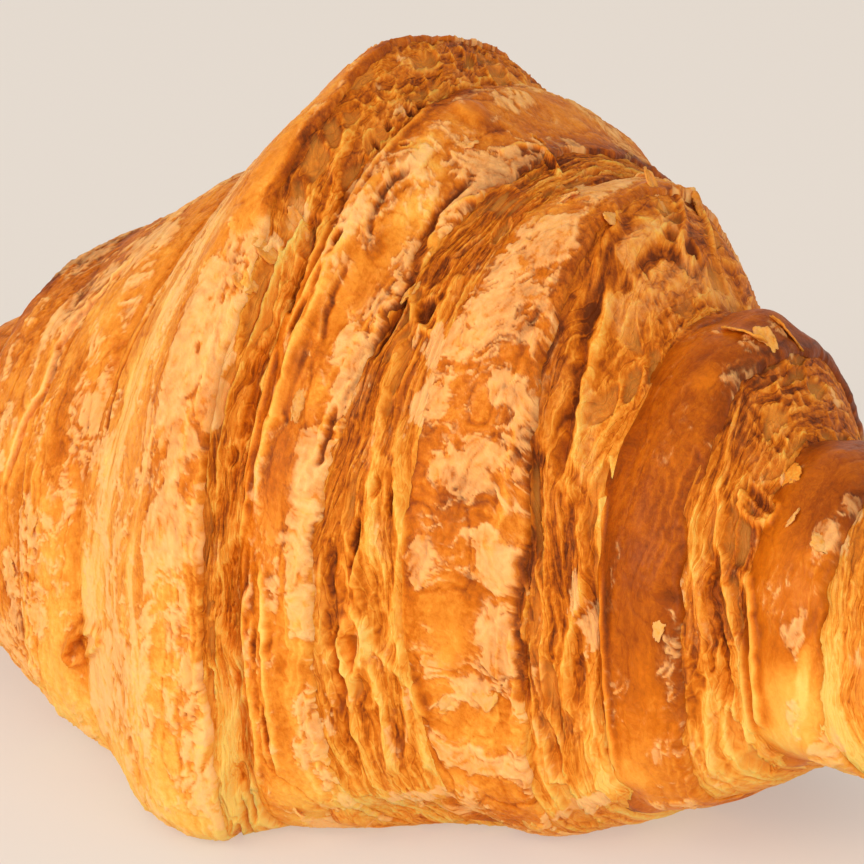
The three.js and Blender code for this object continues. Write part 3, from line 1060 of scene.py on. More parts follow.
@dataclass
class LayerWrap(Wrap):
    """The cut layers of a wrap, from under the skin's lip down to the next crease."""

    # the layers take less of the painted shade in hollows and painted light on crests
    cavity_shade: float = 0.75

    def rows(self) -> list[Row]:
        """Tucked start under the lip, the layers, and a tucked end below the crease."""
        way, deep, hidden = self.side.value, self.form.lines[self.end].depth, 5
        rows = [Row(0, -way * 2.4, 4, shrink, shown=0) for shrink in (0.0, 0.7)]
        for k in range(hidden):
            back = 2.2 - 0.44 * k
            rows.append(Row(0, -way * back, 0.45 + 0.3 * back, shown=0))
        count = max(8, int(round(math.hypot(self.span(), deep) * 1.12 / self.step())))
        shares = [k / count for k in range(count + 1)]
        rows += [Row(t, 0, 0.15 * (1 - t) ** 2 + deep * t) for t in shares]
        slope = max(deep / self.span(), 0.6)
        for k in range(1, hidden + 1):
            down = 0.45 * k
            rows.append(Row(1, way * down, deep + slope * down + 0.2 * down ** 2, shown=0.6))
        rows += [Row(1, way * 2.4, deep + 5, shrink, shown=0) for shrink in (0.7, 0.0)]
        return rows

    @staticmethod
    def plies(run: Array, w: Array, seed: int) -> tuple[Array, Array]:
        """Sheets of dough seen on edge.

        Args:
            run: Way along the sheets, in lengths of a strand.
            w: Way across the sheets, one to a unit.
            seed: Number of the pattern.

        Returns:
            How far each sheet stands out, 0 to 1, and a tone of its own, -1 to 1.
        """
        w = w + 0.5 * wave(run * 0.9, w * 0.45, seed + 1)
        k = np.floor(w)
        profile = np.minimum((w - k) / 0.70, (1 - w + k) / 0.30)
        height = 0.55 + 0.45 * wave(run + 0.37 * k, k, seed)
        return height * profile, wave(run * 0.7 + 0.61 * k, k, seed + 7)

    def relief(self, f: Surface) -> None:
        """Sheets seen on edge, thin walls and lens-shaped openings between the layers of dough."""
        n, v, u, look = self.seed, f.around, f.reach, self.look
        thick = f.pale
        top = 1 - ramp(f.degrees, 12, 62)
        low = ramp(f.degrees, 78, 125)
        body = ramp(f.t, 0.0, 0.14) * ramp(f.t, 1.04, 0.93)
        # the way along a strand, which is half as long over the top
        squeeze = 1 / mix(13.0, 6.5, top[0])
        run = np.concatenate([[0], np.cumsum(np.diff(v[0]) * (squeeze[1:] + squeeze[:-1]) / 2)])
        run = (run - np.interp(0, v[0], run))[None, :] + 0 * v
        # the sheets wander from side to side
        sway = 0.9 * wave(v / 15, u / 5, n) + 0.42 * wave(v / 5.5, u / 2.2, n + 1)
        sway = sway + 0.12 * wave(v / 2.2, u / 1.2, n + 2) + 0.05 * wave(v / 0.9, u / 0.7, n + 16)
        w = u + sway
        # thick, middling and thin sheets together
        first, tone1 = self.plies(run * 1.2, w / 1.25, n + 3)
        second, tone2 = self.plies(run * 2.1 + 3, w / 0.74, n + 4)
        third, tone3 = self.plies(run * 3.4 + 5, w / 0.44, n + 5)
        strands = 0.20 * first + 0.34 * second * (0.6 + 0.4 * first) + 0.26 * third
        # lens-shaped openings with thin walls round them
        border, lot, other = cells(run * 1.7 + 0.25 * wave(v / 5, u / 1.4, n + 6), w, n + 7)
        share = 1 - 0.30 * look.opened
        opening = ramp(border, 0.06, 0.40) * ramp(lot, share, share + 0.08)
        wall = bell(border, 0, 0.12) * ramp(lot, share - 0.3, share)
        # a comb of small holes
        border2, lot2, _ = cells(run * 2.6 + 7, (u + 1.3 * sway) / 0.66, n + 8)
        comb = 0.24 * bell(border2, 0, 0.15) - 0.38 * ramp(border2, 0.05, 0.4) * ramp(lot2, 0.15, 0.8)
        level = mix(strands, 0.55 * strands + comb, look.comb * top) + 0.14 * wall
        level = mix(level, 0.3 * level, opening) * mix(1.0, 0.85, top)
        deep = opening * 0.36 * (0.5 + other)
        crumb = layered(v / 0.9, u / 0.5, n + 9, 3, 0.75)
        f.rise += body * (level - 0.26 - deep) + 0.04 * crumb - 0.3 * top * (1 - f.t) ** 2
        f.slide += self.side.value * body * (0.10 * wave(v / 4, u / 1.2, n + 10) + 0.08 * (level - 0.4))
        height = np.clip((level - 0.02) / 0.46, 0, 1)
        # the openings' share, which gets the painted warm glow in the material
        f.pit = opening * body
        # pale scraps on what stands out
        sheet = layered(v / 4, w / 1.1, n + 11, 5, 0.7)
        f.pale = 0.44 * ramp(sheet, 0.05, 0.35) * (0.2 + 0.8 * height)
        f.pale = np.maximum(f.pale, 0.85 * ramp(0.8 * sheet + 1.1 * thick, 0.55, 0.8))
        # browning, least in the depth of the openings: partly the paler dough inside them, partly a painted
        # warm glow of light scattered in their shade
        core = opening * ramp(border, 0.25, 0.55) * body
        tone = 0.61 + look.bake + 0.09 * top - (look.lighten + 0.04) * low + 0.06 * crumb
        tone = tone + 0.13 * layered(v / 10, w / 2.2, n + 13, 3) + 0.08 * tone1 + 0.08 * tone2 + 0.05 * tone3
        f.bake = tone - 0.02 * low - mix(0.15, 0.20, top) * height + 0.05 * (1 - f.t)
        f.bake -= core * (0.14 + 0.1 * sheet) * (1 - 0.8 * top)
        f.gloss = 0.5 - 0.25 * top + 0.2 * layered(v / 3, u / 2, n + 14, 2)
        f.flow = w


def screen(colour: tuple[float, float, float]) -> tuple[float, float, float, float]:
    """A screen colour as the shader's light values."""
    return tuple(c / 12.92 if c <= 0.04045 else ((c + 0.055) / 1.055) ** 2.4 for c in colour) + (1.0,)


@dataclass(frozen=True)
class DoughTones:
    """The tones dough passes through as it browns, and the node group that gives them.

    The group turns how far the crust has baked, flaked and opened into its colour, roughness and
    fine relief. Its colour also holds painted light: a highlight and a shadow beside each thread, and a
    warm glow in the openings. It is built once, and each finish places it with its own values.
    """

    dough: tuple[float, float, float] = (0.94, 0.78, 0.40)
    golden: tuple[float, float, float] = (0.94, 0.68, 0.28)
    amber: tuple[float, float, float] = (0.91, 0.56, 0.17)
    orange: tuple[float, float, float] = (0.80, 0.42, 0.055)
    brown: tuple[float, float, float] = (0.61, 0.28, 0.035)
    dark: tuple[float, float, float] = (0.40, 0.17, 0.04)
    flake: tuple[float, float, float] = (0.975, 0.745, 0.47)
    # colour of the openings: golden dough with a painted warm glow of light scattered in their shade
    hollow_glow: tuple[float, float, float] = (0.90, 0.58, 0.22)
    mottle_scale: float = 420.0
    speck_scale: float = 2200.0
    ragged_scale: float = 1200.0
    bump_strength: float = 0.8
    bump_depth: float = 0.16 * MM
    sockets: ClassVar[tuple[tuple[str, str, str], ...]] = (
        *(("INPUT", "Float", name) for name in ("Bake", "Pale", "Hollow Glow", "Gloss", "Grain", "Fibre Across",
                                                "Fibre Along", "Fibre Tone", "Thread Relief And Shade", "Hollow Glow Share")),
        ("INPUT", "Vector", "Band"), ("OUTPUT", "Color", "Color"), ("OUTPUT", "Float", "Roughness"),
        ("OUTPUT", "Vector", "Normal"),
    )

    def group(self) -> bpy.types.NodeTree:
        """Builds the node group.

        Returns:
            The group, with Color, Roughness and Normal as its outputs.
        """
        tree = bpy.data.node_groups.new("dough_tones", "ShaderNodeTree")
        for way, kind, name in self.sockets:
            tree.interface.new_socket(name, in_out=way, socket_type=f"NodeSocket{kind}")
        nodes, links = tree.nodes, tree.links
        given = nodes.new("NodeGroupInput").outputs
        result = nodes.new("NodeGroupOutput").inputs

        def node(kind: str, **values: object) -> bpy.types.Node:
            """A new node with its properties set."""
            new = nodes.new(kind)
            for key, value in values.items():
                setattr(new, key, value)
            return new

        def fill(target: bpy.types.NodeSocket, value: object) -> None:
            """Links a socket to another, or sets its value."""
            if isinstance(value, bpy.types.NodeSocket):
                links.new(value, target)
            else:
                target.default_value = value

        def blend(factor: object, a: object, b: object) -> bpy.types.NodeSocket:
            """Two colours blended."""
            new = node("ShaderNodeMix", data_type="RGBA")
            for socket, value in (("Factor_Float", factor), ("A_Color", a), ("B_Color", b)):
                fill(next(i for i in new.inputs if i.identifier == socket), value)
            return next(o for o in new.outputs if o.identifier == "Result_Color")

        def maths(operation: str, a: object, b: object = 0.0, clamp: bool = False) -> bpy.types.NodeSocket:
            """A sum or other operation on two numbers."""
            new = node("ShaderNodeMath", operation=operation, use_clamp=clamp)
            fill(new.inputs[0], a)
            fill(new.inputs[1], b)
            return new.outputs[0]

        add, minus, times = (partial(maths, kind) for kind in ("ADD", "SUBTRACT", "MULTIPLY"))

        def spread(value: object, amount: object) -> bpy.types.NodeSocket:
            """A value between 0 and 1 turned into one either side of zero."""
            return times(minus(value, 0.5), amount)

        def noise(vector: object, scale: float, detail: float, roughness: float) -> bpy.types.NodeSocket:
            """Fine unevenness, scale in features to a unit."""
            new = node("ShaderNodeTexNoise")
            settings = {"Vector": vector, "Scale": scale, "Detail": detail, "Roughness": roughness}
            for key, value in settings.items():
                fill(new.inputs[key], value)
            return new.outputs["Fac"]

        def thin(value: object, level: float, sharp: float) -> bpy.types.NodeSocket:
            """Thin lines where a value crosses a level."""
            gap = maths("ABSOLUTE", minus(value, level))
            return minus(1.0, times(gap, sharp), True)

        place = node("ShaderNodeTexCoord").outputs["Object"]
        # mottling, specks and streaks along the fibres, calmer where the crust is glossy
        mottle, speck = noise(place, self.mottle_scale, 3, 0.6), noise(place, self.speck_scale, 2, 0.75)
        stretch = node("ShaderNodeCombineXYZ")
        links.new(given["Fibre Along"], stretch.inputs[0])
        links.new(given["Fibre Across"], stretch.inputs[1])
        along = node("ShaderNodeVectorMath", operation="MULTIPLY")
        links.new(given["Band"], along.inputs[0])
        links.new(stretch.outputs[0], along.inputs[1])
        streak = noise(along.outputs[0], 1.0, 3, 0.7)
        calm = minus(1.35, times(given["Gloss"], 1.15), True)
        grain = times(given["Grain"], calm)
        bake = add(given["Bake"], spread(mottle, times(grain, 0.26)))
        bake = add(bake, spread(streak, given["Fibre Tone"]))
        bake = add(bake, spread(speck, times(grain, 0.36)))
        # threads: a light line beside a dark one, a painted highlight and painted shadow at each sheet's
        # edge; they also go into the fine relief
        lines = 0.0
        for scale, level in ((1.0, 0.50), (1.7, 0.47), (0.62, 0.52)):
            sheet = noise(along.outputs[0], scale, 1, 0.5)
            edge = minus(thin(sheet, level + 0.045, 20), thin(sheet, level, 26))
            lines = add(lines, edge)
        lines = times(lines, given["Thread Relief And Shade"])
        bake = add(bake, lines, True)
        # from dough to dark crust
        tones = node("ShaderNodeValToRGB")
        stops = ((0.0, self.dough), (0.22, self.golden), (0.42, self.amber), (0.62, self.orange),
                 (0.82, self.brown), (1.0, self.dark))
        while len(tones.color_ramp.elements) < len(stops):
            tones.color_ramp.elements.new(0.5)
        for element, (position, colour) in zip(tones.color_ramp.elements, stops):
            element.position = position
            element.color = screen(colour)
        links.new(bake, tones.inputs["Fac"])
        # pale flakes with ragged edges, thinner on brown crust
        worn = add(0.30, add(times(mottle, 0.5), times(speck, 0.8)))
        ragged = add(given["Pale"], spread(noise(place, self.ragged_scale, 4, 0.75), 0.95))
        crisp = times(minus(ragged, 0.24), 4.5, True)
        share = add(0.26, times(crisp, 0.84))
        on_brown = minus(1.34, times(bake, 0.85))
        torn = times(times(given["Pale"], share), times(worn, on_brown), True)
        colour = blend(torn, tones.outputs["Color"], screen(self.flake))
        # the openings take the painted warm glow, as much as the finish allows
        hollow_glow = times(given["Hollow Glow"], given["Hollow Glow Share"])
        links.new(blend(hollow_glow, colour, screen(self.hollow_glow)), result["Color"])
        # roughness and fine relief
        rough = minus(0.68, times(given["Gloss"], 0.36))
        links.new(add(rough, spread(speck, 0.25), True), result["Roughness"])
        bump = node("ShaderNodeBump")
        bump.inputs["Strength"].default_value = self.bump_strength
        bump.inputs["Distance"].default_value = self.bump_depth
        height = add(times(speck, 0.6), times(streak, 0.8))
        height = minus(height, times(lines, 2.0))
        links.new(times(height, calm), bump.inputs["Height"])
        links.new(bump.outputs["Normal"], result["Normal"])
        return tree


@dataclass(frozen=True)
class CrustFinish:
    """Baked dough on one kind of surface."""

    name: str
    grain: float = 1.0
    fibre_across: float = 1.6
    fibre_along: float = 0.7
    fibre_tone: float = 0.20
    # strength of the threads: fine relief, with a painted highlight and painted shadow beside each
    thread_relief_and_shade: float = 0.02
    # how much of the painted warm glow the openings take
    hollow_glow_share: float = 0.12
    specular: float = 0.09
    scatter: float = 0.22
    scatter_colour: tuple[float, float, float] = (1.0, 0.42, 0.14)
    scatter_depth: float = 1.6 * MM

    def material(self, tones: bpy.types.NodeTree) -> bpy.types.Material:
        """Builds the material.

        Args:
            tones: The node group that gives the tones of dough.

        Returns:
            The material, which reads what the wraps keep as attributes.
        """
        made = bpy.data.materials.new(self.name)
        made.use_nodes = True
        nodes, links = made.node_tree.nodes, made.node_tree.links
        shader = nodes["Principled BSDF"]
        for name, value in (("Specular IOR Level", self.specular), ("Subsurface Weight", self.scatter),
                            ("Subsurface Radius", self.scatter_colour),
                            ("Subsurface Scale", self.scatter_depth)):
            shader.inputs[name].default_value = value
        group = nodes.new("ShaderNodeGroup")
        group.node_tree = tones
        for name, value in (("Grain", self.grain), ("Fibre Across", self.fibre_across),
                            ("Fibre Along", self.fibre_along), ("Fibre Tone", self.fibre_tone),
                            ("Thread Relief And Shade", self.thread_relief_and_shade), ("Hollow Glow Share", self.hollow_glow_share)):
            group.inputs[name].default_value = value
        read = {"bake": "Bake", "pale": "Pale", "gloss": "Gloss", "pit": "Hollow Glow", "band": "Band"}
        for name, socket in read.items():
            kept = nodes.new("ShaderNodeAttribute")
            kept.attribute_name = name
            links.new(kept.outputs["Vector" if name == "band" else "Fac"], group.inputs[socket])
        for output, socket in (("Color", "Base Color"), ("Roughness", "Roughness"), ("Normal", "Normal")):
            links.new(group.outputs[output], shader.inputs[socket])
        return made


def flowing(fold: Fold, pieces: int = 5) -> Array:
    """A smooth curve through the points of a fold's path.

    Args:
        fold: The fold.
        pieces: How many steps there are between two of its points.

    Returns:
        The points of the curve, as rows of x and y.
    """
    knots = np.array([fold.x, fold.y], float).T
    knots = np.concatenate([knots[:1], knots, knots[-1:]])
    out = []
    for k in range(1, len(knots) - 2):
        a, b, c, d = knots[k - 1:k + 3]
        for t in np.arange(pieces) / pieces:
            out.append(0.5 * (2 * b + (c - a) * t + (2 * a - 5 * b + 4 * c - d) * t ** 2
                              + (3 * b - a - 3 * c + d) * t ** 3))
    return np.array([*out, knots[-2]])


@dataclass
class Markings:
    """Every patch and fold of the crust that stands out, found on the roll."""

    form: RolledForm

    def __post_init__(self) -> None:
        """Finds each one's place along the axis and its angle."""
        self.sight = sight = Sighting(self.form)
        self.patches = [(mark, *sight.find(mark.x, mark.y)) for mark in self.marks()]
        self.folds = []
        for fold in self.strokes():
            found = [sight.find(x, y) for x, y in flowing(fold)]
            self.folds.append((fold, np.array([p[0] for p in found]), np.array([p[1] for p in found])))

    def marks(self) -> list[Mark]:
        """Patches of the crust that stand out."""
        pale, even, blister, pit, crumb, dark, yellow, swell = (partial(Mark, trait) for trait in Trait)
        return [
            # skin of wrap A, from the crest down
            even(4, 1.5, x=330, y=95), even(4.5, 1.5, x=280, y=165), even(3.5, 1.5, x=255, y=215),
            dark(3.5, 2, x=375, y=62, amount=0.3), dark(4, 0.9, x=318, y=130, amount=0.6),
            dark(4, 1, x=285, y=185, amount=0.5), dark(3, 1.2, x=240, y=262, amount=0.8),
            crumb(3.2, 1.4, x=290, y=215), crumb(2.8, 1.6, x=268, y=255), crumb(2.6, 1.6, x=240, y=290),
            pale(2, 0.8, x=290, y=205), pale(1.8, 1, x=266, y=243), pale(4, 1.5, x=205, y=300),
            pale(3, 1.3, x=222, y=345), pale(2.5, 1, x=215, y=400), pale(3.5, 2, x=180, y=395),
            pale(3, 1.4, x=185, y=450), pale(3.5, 1.4, x=160, y=545), pale(3, 1.2, x=150, y=640),
            dark(3, 1.5, x=172, y=500, amount=0.5), pale(2, 0.7, x=330, y=85, amount=0.6),
            # left arm
            yellow(2, 1.4, x=168, y=303), yellow(2.4, 1.2, x=105, y=463), yellow(6, 2.4, x=140, y=700),
            pale(3.2, 1.5, x=32, y=520), pale(1.6, 1.4, x=12, y=565), pale(3.5, 1.6, x=45, y=620),
            pale(3, 1, x=60, y=330), pale(2, 1, x=10, y=420), pale(3, 0.9, x=95, y=400),
            dark(6, 2.4, x=68, y=420, amount=0.45), dark(3, 1.2, x=20, y=620, amount=0.5),
            dark(4, 3, x=60, y=275, amount=0.35), yellow(5, 1.8, x=82, y=585, amount=1.1),
            yellow(4, 1, x=125, y=390), pale(3, 1, x=105, y=560), pit(0.35, 0.3, x=156, y=232),
            dark(1.3, 1.3, x=96, y=680, amount=0.8), pit(0.6, 0.6, x=80, y=652, amount=0.5),
            pale(3, 1.2, x=95, y=720),
            # layers of wrap A
            pit(0.55, 0.5, x=370, y=118), pit(0.6, 0.6, x=401, y=127),
            pit(1.1, 0.6, x=332, y=228, amount=0.8), pit(2.4, 0.5, x=289, y=308, amount=0.7),
            pit(1.1, 0.3, x=222, y=455, amount=0.7), pit(2.8, 0.7, x=234, y=575, amount=0.4),
            pit(2.2, 0.5, x=246, y=650, amount=0.5), pit(2.4, 0.6, x=233, y=790, amount=0.6),
            pit(3, 0.5, x=262, y=730, amount=0.6), pit(0.9, 0.5, x=420, y=78), pit(0.7, 0.4, x=408, y=84),
            pit(0.7, 0.5, x=466, y=60), pit(0.6, 0.4, x=478, y=70), pit(0.6, 0.4, x=384, y=100),
            pale(2.6, 0.7, x=236, y=590, amount=0.9), dark(3, 2, x=470, y=70, amount=0.7),
            dark(3, 2, x=410, y=70, amount=0.7), yellow(2.4, 1.2, x=425, y=140),
            yellow(3, 1.4, x=260, y=620, amount=0.5), yellow(6, 1.6, x=215, y=720, amount=0.4),
            # wrap B
            blister(2.4, 2.6, x=470, y=108), dark(1.6, 2, x=490, y=127, amount=0.8),
            pale(1.1, 1.8, x=460, y=142, amount=0.5), pale(1, 2, x=510, y=137, amount=0.5),
            pale(1, 1.4, x=505, y=98, amount=0.4), yellow(2.4, 1.8, x=425, y=175),
            yellow(3, 1.7, x=412, y=215), even(4, 2.2, x=365, y=285),
            dark(1.8, 1.6, x=378, y=245, amount=0.6), dark(1.2, 0.9, x=430, y=178, amount=0.7),
            pale(1.4, 1.4, x=375, y=312, amount=0.8), pale(2.2, 0.8, x=348, y=345, amount=0.8),
            pale(2.6, 0.8, x=345, y=392, amount=0.8), even(2.4, 1, x=335, y=325),
            even(4, 1.2, x=290, y=385), dark(3, 0.7, x=322, y=360, amount=0.5), even(7, 2, x=275, y=490),
            dark(4.5, 1.8, x=275, y=470, amount=0.85), dark(5, 1, x=290, y=530, amount=0.5),
            pale(5, 1.6, x=325, y=735, amount=0.7), pale(2, 1, x=308, y=700),
            dark(1.6, 1.8, x=297, y=662, amount=0.45), pale(2, 0.8, x=308, y=750),
            pale(2, 0.7, x=272, y=600),
            # layers of wrap B
            pit(1.7, 0.6, x=424, y=312, amount=1.1), pit(2, 0.7, x=440, y=272, amount=0.6),
            pit(0.5, 0.9, x=552, y=168, amount=0.9), pit(0.35, 0.7, x=538, y=148),
            pit(2.2, 0.6, x=347, y=650, amount=0.25), pit(2.2, 0.6, x=374, y=625, amount=0.3),
            pit(1.8, 0.35, x=383, y=505, amount=0.7), pit(1.5, 0.3, x=372, y=487, amount=0.7),
            pit(3.4, 0.3, x=355, y=545, amount=0.8), pit(3.6, 0.8, x=393, y=735, amount=0.35),
            pale(2.6, 0.8, x=393, y=735, amount=0.8), even(3.4, 1.8, x=505, y=200),
            dark(3.4, 1.6, x=500, y=205, amount=0.6), yellow(3, 1.6, x=375, y=560, amount=0.3),
            yellow(4, 1.4, x=400, y=640, amount=0.3),
            # wrap C
            pale(1.5, 2.4, x=600, y=185), pale(1.2, 1.6, x=640, y=178), pale(1.6, 2.6, x=560, y=235),
            pale(1.2, 1.6, x=545, y=262), pale(2.6, 1.4, x=430, y=340), pale(3.2, 1.4, x=425, y=400),
            pale(1.6, 1.6, x=505, y=392), pale(1.6, 3, x=455, y=470), pale(1.4, 2, x=490, y=455),
            pale(2.2, 1.2, x=415, y=560), pale(1.4, 1.4, x=498, y=545), pale(4.5, 1.5, x=500, y=640),
            pale(2, 1.6, x=480, y=690), pale(2.6, 0.8, x=452, y=702, tilt=-50),
            pale(1.2, 3.2, x=492, y=760, tilt=12), dark(2.6, 2.4, x=455, y=500, amount=0.35),
            dark(2.6, 1.8, x=475, y=585, amount=0.4), dark(1.6, 1.6, x=575, y=215, amount=0.4),
            dark(4, 1, x=520, y=350, amount=0.3), even(3.6, 2.6, x=455, y=640),
            yellow(2, 2.2, x=480, y=735, amount=0.5),
            # layers of wrap C
            pit(1, 0.6, x=693, y=236, amount=0.9), pit(1.2, 0.5, x=672, y=222, amount=0.7),
            yellow(1.6, 1.8, x=655, y=222, amount=0.7), pit(2.8, 0.7, x=570, y=505, amount=0.4),
            pit(3.6, 0.8, x=568, y=688, amount=0.45), pit(2.2, 0.6, x=552, y=758, amount=0.5),
            pale(2.6, 0.8, x=570, y=690, amount=0.7), pale(4, 0.8, x=565, y=600, amount=0.6),
            pit(1.2, 0.4, x=625, y=275, amount=0.6), even(7, 0.9, x=597, y=530),
            dark(9, 0.8, x=600, y=600, amount=0.4), crumb(3, 3.4, x=660, y=290), crumb(2, 3, x=710, y=272),
            # tones of the layers of several wraps
            dark(3.5, 1.4, x=232, y=480, amount=0.8), dark(4, 1.2, x=245, y=560, amount=0.3),
            dark(4, 1.6, x=562, y=560, amount=0.6), dark(5, 2, x=715, y=660, amount=0.4),
            # wrap D
            yellow(2, 1.4, x=705, y=380, amount=0.6), yellow(2.5, 3, x=620, y=780, amount=0.5),
            pale(1, 1.6, x=728, y=332), pale(1.8, 1, x=748, y=348), pale(1, 2.4, x=780, y=342),
            pale(1.4, 1.2, x=722, y=392, amount=0.6), pale(0.5, 1.2, x=688, y=426, amount=0.5),
            pale(1.2, 0.9, x=668, y=466, amount=0.5), pale(4.5, 0.8, x=676, y=640, amount=0.5),
            pale(2.2, 1.2, x=665, y=745, tilt=-35, amount=0.6), pale(1, 2.6, x=668, y=800, amount=0.7),
            dark(8, 2, x=640, y=560, amount=0.3), dark(4, 2, x=655, y=480, amount=0.2),
            # layers of wrap D
            pit(0.9, 1.6, x=755, y=488, amount=0.55), pale(1.6, 1, x=787, y=462),
            pit(0.8, 0.5, x=762, y=370, amount=0.6), crumb(3, 2.6, x=770, y=420),
            crumb(2.6, 2.4, x=790, y=385), yellow(6, 2.4, x=715, y=700, amount=0.8),
            dark(3, 1, x=735, y=530, amount=0.6),
            # wrap E and the right end
            even(5, 3, x=810, y=500), dark(5.5, 3, x=815, y=510, amount=0.4), pale(0.7, 1.7, x=788, y=520),
            pale(2, 1.5, x=829, y=545, amount=1.2), pale(1.6, 1, x=850, y=515, amount=0.9),
            yellow(4, 0.7, x=808, y=675, amount=0.9), pale(2.4, 1.2, x=795, y=712),
            pale(3.4, 0.8, x=800, y=640, amount=0.9), yellow(5, 3.6, x=795, y=705, amount=1.2),
            yellow(2, 3, x=770, y=745, amount=0.6), yellow(6, 5, x=848, y=690, amount=0.7),
            even(5, 4, x=845, y=700), pale(5, 3, x=848, y=690, amount=0.6),
            pale(3, 2.4, x=836, y=740, amount=0.5),
            # flakes and tones of several wraps and of the right end
            pale(3, 1.2, x=395, y=700, amount=0.6), pale(3, 1, x=228, y=640, amount=0.6),
            pale(3, 1, x=345, y=470, amount=0.5), pale(4, 1, x=575, y=640, amount=0.6),
            dark(5, 1.6, x=310, y=330, amount=0.4), dark(5, 1.6, x=600, y=385, amount=0.35),
            dark(3.5, 2.5, x=850, y=700, amount=0.25),
            # swellings and dips that shape the outline and the base
            swell(14, 7, x=44, y=300, amount=1.5), swell(7, 3, x=372, y=62, amount=0.9),
            swell(5, 3.5, x=624, y=140, amount=0.6), swell(4, 2.5, x=764, y=318, amount=0.8),
            swell(4, 3, x=744, y=278, amount=-0.6), swell(5, 6, x=350, y=822, amount=-1.2),
            swell(5, 6, x=430, y=824, amount=-1.3), swell(5, 5, x=510, y=826, amount=-1),
            swell(5, 5, x=620, y=826, amount=-1), swell(5, 5, x=720, y=802, amount=-1),
            swell(5, 5, x=810, y=770, amount=-1),
            # along the base
            pale(1.4, 2.4, x=585, y=810), yellow(2, 4, x=580, y=800, amount=0.8),
            pale(1.6, 2.6, x=420, y=800), yellow(2, 5, x=400, y=800, amount=0.4),
            yellow(2, 5, x=240, y=810, amount=0.2),
        ]

